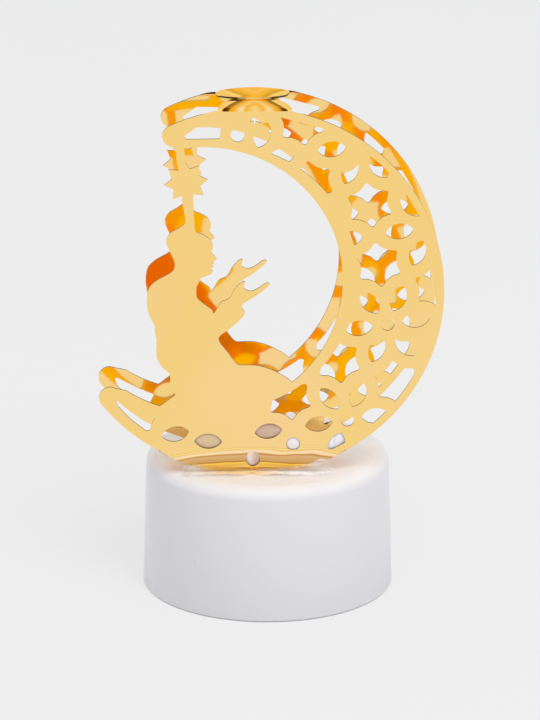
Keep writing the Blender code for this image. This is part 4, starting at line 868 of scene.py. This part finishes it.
def turned_cup():
    """The cup's profile turned round the upright."""
    rim = BASE_RADIUS - BASE_DRAFT - BASE_EDGE
    roof = BASE_TOP - BASE_WALL
    profile = [(0.0, BASE_TOP)] + arc((rim, BASE_TOP - BASE_EDGE), BASE_EDGE, 90.0, 0.0, 12)
    profile += [(BASE_RADIUS - 0.00002, 0.0003), (BASE_RADIUS - 0.0002, 0.0), (BASE_RADIUS - BASE_WALL, 0.0)]
    profile += arc((rim - 0.0001, roof - 0.0012), 0.0012, 0.0, 90.0, 4) + [(0.0, roof)]
    bm = bmesh.new()
    rings = []
    for radius, height in profile:
        count = BASE_SIDES if radius > 0.0 else 1
        turns = [2.0 * math.pi * side / BASE_SIDES for side in range(count)]
        rings.append([
            bm.verts.new((radius * math.cos(turn), radius * math.sin(turn), height)) for turn in turns])
    for upper, lower in zip(rings, rings[1:]):
        for side in range(BASE_SIDES):
            after = (side + 1) % BASE_SIDES
            corners = [upper[side % len(upper)], lower[side % len(lower)],
                       lower[after % len(lower)], upper[after % len(upper)]]
            bm.faces.new(list(dict.fromkeys(corners)))
    return bm


def new_piece(name, bm, material, replaced, sharp_angle):
    """Turns a bmesh into a piece that rides on the lamp and stands for some nodes."""
    mesh = mesh_of(bm, name)
    mesh.shade_smooth()
    mesh.set_sharp_from_angle(angle=math.radians(sharp_angle))
    mesh.materials.append(material)
    piece = bpy.data.objects.new(name, mesh)
    scene.collection.objects.link(piece)
    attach(piece, "lamp")
    if replaced:
        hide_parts(*replaced)


def dress(material, *names):
    """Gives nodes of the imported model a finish."""
    for name in names:
        node[name].data.materials.clear()
        node[name].data.materials.append(material)


white = Finish("white_plastic", Roughness=0.28)
side = white.blend(white.noise(25.0), (0.735, 0.73, 0.75), (0.765, 0.76, 0.78))
# The top and its round edge are painted lighter and warmer than the side: painted light from above and a
# painted warm reflection of the gilt.
lit_top = white.blend(white.axis(2).between(0.02995, 0.03018), (0.87, 0.845, 0.83), (0.93, 0.91, 0.90))
tone_and_lit_top = white.blend(white.axis(2).between(0.0272, 0.0300), side, lit_top)
specks = white.noise(900.0, 1.0).between(0.78, 0.84) * white.noise(45.0, 1.0).between(0.45, 0.60) * 0.5
speckled = white.blend(specks, tone_and_lit_top, (0.30, 0.28, 0.28))
# A thin dark band just above the floor: a painted contact shadow round the foot.
painted_contact_shadow = white.axis(2).between(0.00045, 0.00015) * (white.axis(2) > 0.00003)
white.feed("Base Color", white.blend(painted_contact_shadow, speckled, (0.40, 0.37, 0.34)))
white.bump(white.noise(1500.0, 2.0), 0.05, 0.0001)
new_piece("white_cup", turned_cup(), white.material, ["base_shell"], 50.0)

satin = Finish("satin_plastic", Roughness=0.45)
satin.feed("Base Color", satin.blend(satin.noise(40.0), (0.74, 0.73, 0.75), (0.80, 0.79, 0.81)))
satin.bump(satin.noise(3000.0, 3.0), 0.12, 0.0001)
dress(satin.material, "bottom_plate")


# Battery door: a hinged flap of the same satin plastic, with moulded grooves for the thumb.
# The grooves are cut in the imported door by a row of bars.

grooves = Shape("thumb_grooves", count=6, pitch=0.0009, bar_length=0.0110, bar_width=0.0004,
                groove_depth=0.0003, row_start=-0.0150)
row = grooves.add("GeometryNodeMeshLine", {"mode": "OFFSET"}, named={
    "Count": grooves.input("Count"),
    "Start Location": grooves.add("ShaderNodeCombineXYZ", {}, 0.0, grooves.input("Row start"), 0.0),
    "Offset": grooves.add("ShaderNodeCombineXYZ", {}, 0.0, grooves.input("Pitch"), 0.0)})
bar = grooves.add("ShaderNodeCombineXYZ", {}, grooves.input("Bar length"), grooves.input("Bar width"),
                  grooves.input("Groove depth") * 2.0)
bar = grooves.add("GeometryNodeMeshCube", {}, bar)
bars = grooves.add("GeometryNodeInstanceOnPoints", {}, named={"Points": row, "Instance": bar})
bars = grooves.add("GeometryNodeRealizeInstances", {}, bars)
carved = grooves.add("GeometryNodeMeshBoolean", {"operation": "DIFFERENCE"}, grooves.input("Geometry"), bars)
grooves.finish(carved, satin.material)

bm = bmesh.new()
bm.from_mesh(node["battery_door"].data)
bmesh.ops.remove_doubles(bm, verts=bm.verts, dist=1e-6)
door = grooves.grow("grooved_door", mesh_of(bm, "plain_door"))
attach(door, "door")
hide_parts("battery_door")


# Glue: hot-melt glue pressed round the moon's foot, one run on each side.
# It fills the wedge under the plate's rising edge and has crept up behind the plate; drops of it
# have dried in five holes near the foot.

GLUE_STEPS = 60
GLUE_FACE = FRONT_Y - 0.0012
GLUE_LIP = FRONT_Y - 0.00118
GLUE_REACH = 0.0022
GLUE_HEIGHT = 0.0009
GLUE_TAPER = 0.005
GLUE_SHARP = 70.0


def base_top(x, y):
    """Height of the base's top, with its round edge."""
    past = min(max(math.hypot(x, y) - (BASE_RADIUS - BASE_DRAFT - BASE_EDGE), 0.0), BASE_EDGE)
    return BASE_TOP - BASE_EDGE + math.sqrt(BASE_EDGE ** 2 - past ** 2)


def ripple(x, seed):
    """A wave of three pitches along the foot, from -1 to 1."""
    wave = math.sin(x * 900.0 + seed) * 0.5 + math.sin(x * 2100.0 + 2.3 * seed) * 0.3
    return wave + math.sin(x * 4700.0 + seed) * 0.2


def plate_edge(x):
    """Height of the front plate's lower edge over the foot."""
    return max(CIRCLE_Z - SHEET_FLOOR - math.sqrt(CIRCLE ** 2 - x ** 2), 0.0)


def strip(bm, sections):
    """Closes a row of sections into a solid run."""
    rings = [[bm.verts.new(point) for point in section] for section in sections]
    for ring, after in zip(rings, rings[1:]):
        for index in range(len(ring)):
            bm.faces.new([ring[index - 1], ring[index], after[index], after[index - 1]])
    bm.faces.new(rings[0])
    bm.faces.new(list(reversed(rings[-1])))
    bmesh.ops.recalc_face_normals(bm, faces=bm.faces)


def glue_run(name, node_name, wedge, seed):
    """One run between two places beside the foot's middle, thinner towards both ends."""
    bm = bmesh.new()
    sections = []
    for step in range(GLUE_STEPS + 1):
        x = wedge[0] + (wedge[1] - wedge[0]) * step / GLUE_STEPS
        swell = min(0.03 + min(abs(x - wedge[0]), abs(x - wedge[1])) / GLUE_TAPER, 1.0) ** 0.7
        rise = (plate_edge(x) + GLUE_HEIGHT + 0.0002 * ripple(x, seed)) * swell
        reach = GLUE_FACE - (GLUE_REACH + 0.0005 * ripple(x, seed + 1.0)) * swell
        middle = GLUE_LIP * 0.5 + reach * 0.5
        edge = CIRCLE_X + x
        ways = [(GLUE_LIP, 1.0), (GLUE_LIP - 0.0004, 0.72), (middle, 0.30 + 0.06 * ripple(x, seed + 2.0)),
                (reach, 0.0), (FRONT_Y + 0.0006, 0.0), (FRONT_Y + 0.0004, 0.9)]
        ring = []
        for y, share in ways:
            ground = base_top(edge, y) - 0.00005
            ring.append((edge, y, ground + share * (SHEET_FLOOR + rise - ground)))
        sections.append(ring)
    strip(bm, sections)
    new_piece(name, bm, glue.material, [node_name], GLUE_SHARP)


glue = Finish("clear_glue", Roughness=0.10, IOR=1.48)
sideways = glue.axis(0) - CIRCLE_X
# Near the plate the glue is tinted tan and amber across the foot: painted reflections of the gilt behind it;
# further out it stays pale.
painted_gold_reflection = glue.ramp((sideways + 0.020) / 0.040, [
    (0.10, (0.76, 0.64, 0.54)), (0.22, (0.86, 0.74, 0.60)), (0.36, (1.0, 0.66, 0.26)),
    (0.52, (1.0, 0.70, 0.32)), (0.70, (0.93, 0.88, 0.84)), (0.85, (0.92, 0.90, 0.90))])
wander = (glue.noise(160.0, 2.0, stretch=(1.0, 0.0, 0.0)) - 0.5) * 0.0016
near = (glue.axis(1) + wander).between(FRONT_Y - 0.0027, FRONT_Y - 0.0021)
run = glue.blend(near, (0.95, 0.92, 0.90), painted_gold_reflection)
# Near-white streaks in the glue are painted highlights; they also make the glue less clear.
highlight_streaks = glue.noise(190.0, 3.0, stretch=(0.35, 1.0, 2.2))
glue.feed("Base Color", glue.blend(highlight_streaks.between(0.54, 0.62), run, (1.0, 0.99, 0.98)))
fade = 1.0 - (sideways - 0.0012).size().between(0.0128, 0.0175)
left = sideways.between(-0.0095, -0.0130)
low = glue.axis(2).between(0.0313, 0.0308)
glue.feed("Alpha", fade * (0.14 + highlight_streaks.between(0.50, 0.60) * 0.5 + near * low * 0.7 + left * 0.3))
glue.bump(glue.noise(500.0, 2.0, stretch=(0.4, 1.0, 1.6)), 0.8, 0.0004)
glue_run("glue_run_right", "glue_bead_right", (-0.0006, 0.0196), 0.7)
glue_run("glue_run_left", "glue_bead_left", (-0.0165, 0.0006), 4.1)

dried = Finish("dried_glue", Roughness=0.12, IOR=1.48)
sideways = dried.axis(0) - CIRCLE_X
tone = dried.ramp((sideways + 0.0125) / 0.035, [
    (0.0, (0.72, 0.52, 0.30)), (0.20, (0.74, 0.54, 0.32)), (0.34, (0.86, 0.70, 0.64)),
    (0.38, (0.62, 0.42, 0.29)), (0.50, (0.64, 0.44, 0.31)), (0.56, (0.90, 0.82, 0.79)),
    (0.78, (0.91, 0.91, 0.94))])
rays = dried.noise(260.0, 2.0, stretch=(3.0, 1.0, 0.5)).between(0.45, 0.60) * sideways.between(0.012, 0.016)
dried.feed("Base Color", dried.blend(rays * 0.6, tone, (0.72, 0.70, 0.74)))
dried.bump(dried.noise(300.0, 2.0), 0.4, 0.0003)

# Each drop: place in the front view, half length, half height, turn in degrees, and depth behind the plate
DROPS = [(-0.0096, -0.0337, 0.0033, 0.0019, -2.0, 0.0004), (0.0029, -0.0317, 0.0033, 0.0019, 8.5, 0.0004),
         (0.0088, -0.0344, 0.0017, 0.0017, 0.0, 0.0003), (0.0001, -0.0376, 0.0017, 0.0017, 0.0, -0.0006),
         (0.0180, -0.0335, 0.0030, 0.0021, 40.0, 0.0004)]
DROP_DEPTH = 0.0004

bm = bmesh.new()
for x, z, length, height, turn, behind in DROPS:
    drop = Matrix.Translation((CIRCLE_X + x, FRONT_Y + behind, CIRCLE_Z + z))
    drop = drop @ Matrix.Rotation(-math.radians(turn), 4, "Y")
    drop = drop @ Matrix.Diagonal((length, DROP_DEPTH, height, 1.0))
    bmesh.ops.create_uvsphere(bm, u_segments=32, v_segments=16, radius=1.0, matrix=drop)
new_piece("glue_in_holes", bm, dried.material, (), GLUE_SHARP)


# Screws: pan heads with a cross recess and a rolled thread, each grown from one tree.
# The thread's radius follows a wave that climbs by one pitch a turn and narrows to the tip.

CROSS = (0.0022, 0.0005)
HEAD_SHARP = 40.0
PLATE_SCREWS = 0.0200

steel = Finish("plain_steel", Metallic=1.0, Roughness=0.3)
steel.feed("Base Color", steel.blend(steel.noise(500.0), (0.52, 0.52, 0.53), (0.62, 0.62, 0.62)))
steel.bump(steel.noise(4000.0, 2.0), 0.1, 0.00005)

screw = Shape("cross_screw", head_radius=0.0019, head_height=0.0011, shank_radius=0.0010, length=0.0080,
              pitch=0.0008, recess=0.0006, turn=0.4, flip=0.0, place_x=0.0, place_y=0.0, place_z=0.0)
tall = screw.input("Head height")
head = screw.add("GeometryNodeMeshCylinder", {}, named={
    "Vertices": 36, "Side Segments": 6, "Radius": screw.input("Head radius"), "Depth": tall})
spot = screw.add("GeometryNodeInputPosition", {})
x, y, z = (screw.add("ShaderNodeSeparateXYZ", {}, spot, output=index) for index in range(3))
narrow = 1.0 - (0.1 - z / tall).between(0.2, 0.6) * 0.2
domed = screw.add("ShaderNodeCombineXYZ", {}, x * narrow, y * narrow, z - tall * 0.5)
head = screw.add("GeometryNodeSetPosition", {}, head, None, domed)
for length, width in (CROSS, CROSS[::-1]):
    bar = screw.add("ShaderNodeCombineXYZ", {}, length, width, screw.input("Recess") * 2.0)
    bar = screw.add("GeometryNodeMeshCube", {}, bar)
    down = screw.add("ShaderNodeCombineXYZ", {}, 0.0, 0.0, 0.0 - tall)
    bar = screw.add("GeometryNodeTransform", {}, bar, named={"Translation": down})
    head = screw.add("GeometryNodeMeshBoolean", {"operation": "DIFFERENCE"}, head, bar)
long = screw.input("Length") + tall * 0.3
shank = screw.add("GeometryNodeMeshCylinder", {}, named={
    "Vertices": 16, "Side Segments": 72, "Radius": screw.input("Shank radius"), "Depth": long})
wave = (z / screw.input("Pitch") * (2.0 * math.pi) + x.turn_of(y)).cosine()
tip = (z / long).between(0.30, 0.5, False)
narrow = (0.90 + wave * 0.10) * (1.0 - tip * 0.85)
wound = screw.add("ShaderNodeCombineXYZ", {}, x * narrow, y * narrow, z + long * 0.5 - tall * 0.3)
shank = screw.add("GeometryNodeSetPosition", {}, shank, None, wound)
both = screw.tree.nodes.new("GeometryNodeJoinGeometry")
screw.tree.links.new(shank.socket, both.inputs[0])
screw.tree.links.new(head.socket, both.inputs[0])
spin = screw.add("ShaderNodeCombineXYZ", {}, screw.input("Flip") * math.pi, 0.0, screw.input("Turn"))
move = screw.add("ShaderNodeCombineXYZ", {}, *(screw.input("Place " + axis) for axis in "xyz"))
whole = Value(screw, both.outputs[0])
whole = screw.add("GeometryNodeTransform", {}, whole, named={"Translation": move, "Rotation": spin})
screw.finish(whole, steel.material)


def add_screw(node_name, body, x, y, z, turn, **changes):
    """Grows one screw in the place of a packed one."""
    piece = screw.grow("cross_" + node_name, bpy.data.meshes.new("start"),
                       place_x=x, place_y=y, place_z=z, turn=turn, **changes)
    piece.data.shade_smooth()
    piece.data.set_sharp_from_angle(angle=math.radians(HEAD_SHARP))
    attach(piece, body)
    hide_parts(node_name)


for number, turn in enumerate((90.0, 205.0, 335.0), start=1):
    x, y = polar((0.0, 0.0), PLATE_SCREWS, turn)
    add_screw(f"plate_screw_{number}", "lamp", x, y, 0.0014, 0.3 + 0.7 * number)
for number, x in enumerate((-0.0075, 0.0075), start=1):
    add_screw(f"board_screw_{number}", "lamp", x, 0.0035, 0.0187, 0.9 * number, length=0.0042, flip=1.0)
add_screw("door_screw", "door", 0.0, -0.0039, 0.0006, 0.5,
          length=0.0031, head_height=0.0005, recess=0.0003, pitch=0.0006)


# Fittings inside and under the base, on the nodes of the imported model.
# Cells have a dark gasket ring and the resistor has its colour bands.



def dye(name, roughness, scale, dark, light, *names):
    """Gives nodes a plain finish between two shades."""
    finish = Finish(name, Roughness=roughness)
    finish.feed("Base Color", finish.blend(finish.noise(scale), dark, light))
    dress(finish.material, *names)


dress(steel.material, "contact_plate", "contact_spring", "switch_housing")

cell = Finish("cell_steel", Metallic=1.0, Roughness=0.22)
ring = ((cell.axis(0) + 0.0092) % 0.0057 - 0.0040).size()
brushed = cell.blend(cell.noise(900.0, 2.0, stretch=(1.0, 1.0, 0.1)), (0.62, 0.62, 0.60), (0.72, 0.72, 0.70))
cell.feed("Base Color", cell.blend(ring.between(0.00022, 0.00018), brushed, (0.04, 0.04, 0.05)))
dress(cell.material, "button_cell_1", "button_cell_2", "button_cell_3")

dye("black_nylon", 0.5, 800.0, (0.02, 0.02, 0.02), (0.04, 0.04, 0.04), "switch_slider", "wire_black")
dye("solder_mask", 0.4, 700.0, (0.03, 0.18, 0.07), (0.05, 0.26, 0.11), "lamp_board")
dye("led_resin", 0.1, 300.0, (0.93, 0.88, 0.74), (0.97, 0.93, 0.82), "led_lamp")

lacquer = Finish("resistor_lacquer", Roughness=0.4)
body = lacquer.blend(lacquer.noise(900.0), (0.55, 0.38, 0.20), (0.66, 0.48, 0.28))
band = ((lacquer.axis(0) + 0.0060) % 0.0012 - 0.0006).size().between(0.00026, 0.00022)
band = band * (lacquer.axis(0).size() < 0.0021)
stripe = lacquer.ramp((lacquer.axis(0) + 0.0024) / 0.0048, [
    (0.0, (0.20, 0.07, 0.02)), (0.25, (0.02, 0.02, 0.02)), (0.50, (0.20, 0.07, 0.02)),
    (0.75, (0.55, 0.36, 0.08))])
lacquer.feed("Base Color", lacquer.blend(band, body, stripe))
dress(lacquer.material, "resistor")

dye("red_insulation", 0.45, 900.0, (0.55, 0.02, 0.02), (0.66, 0.03, 0.03), "wire_red")
dye("blue_insulation", 0.45, 900.0, (0.02, 0.07, 0.42), (0.04, 0.10, 0.50), "wire_blue")
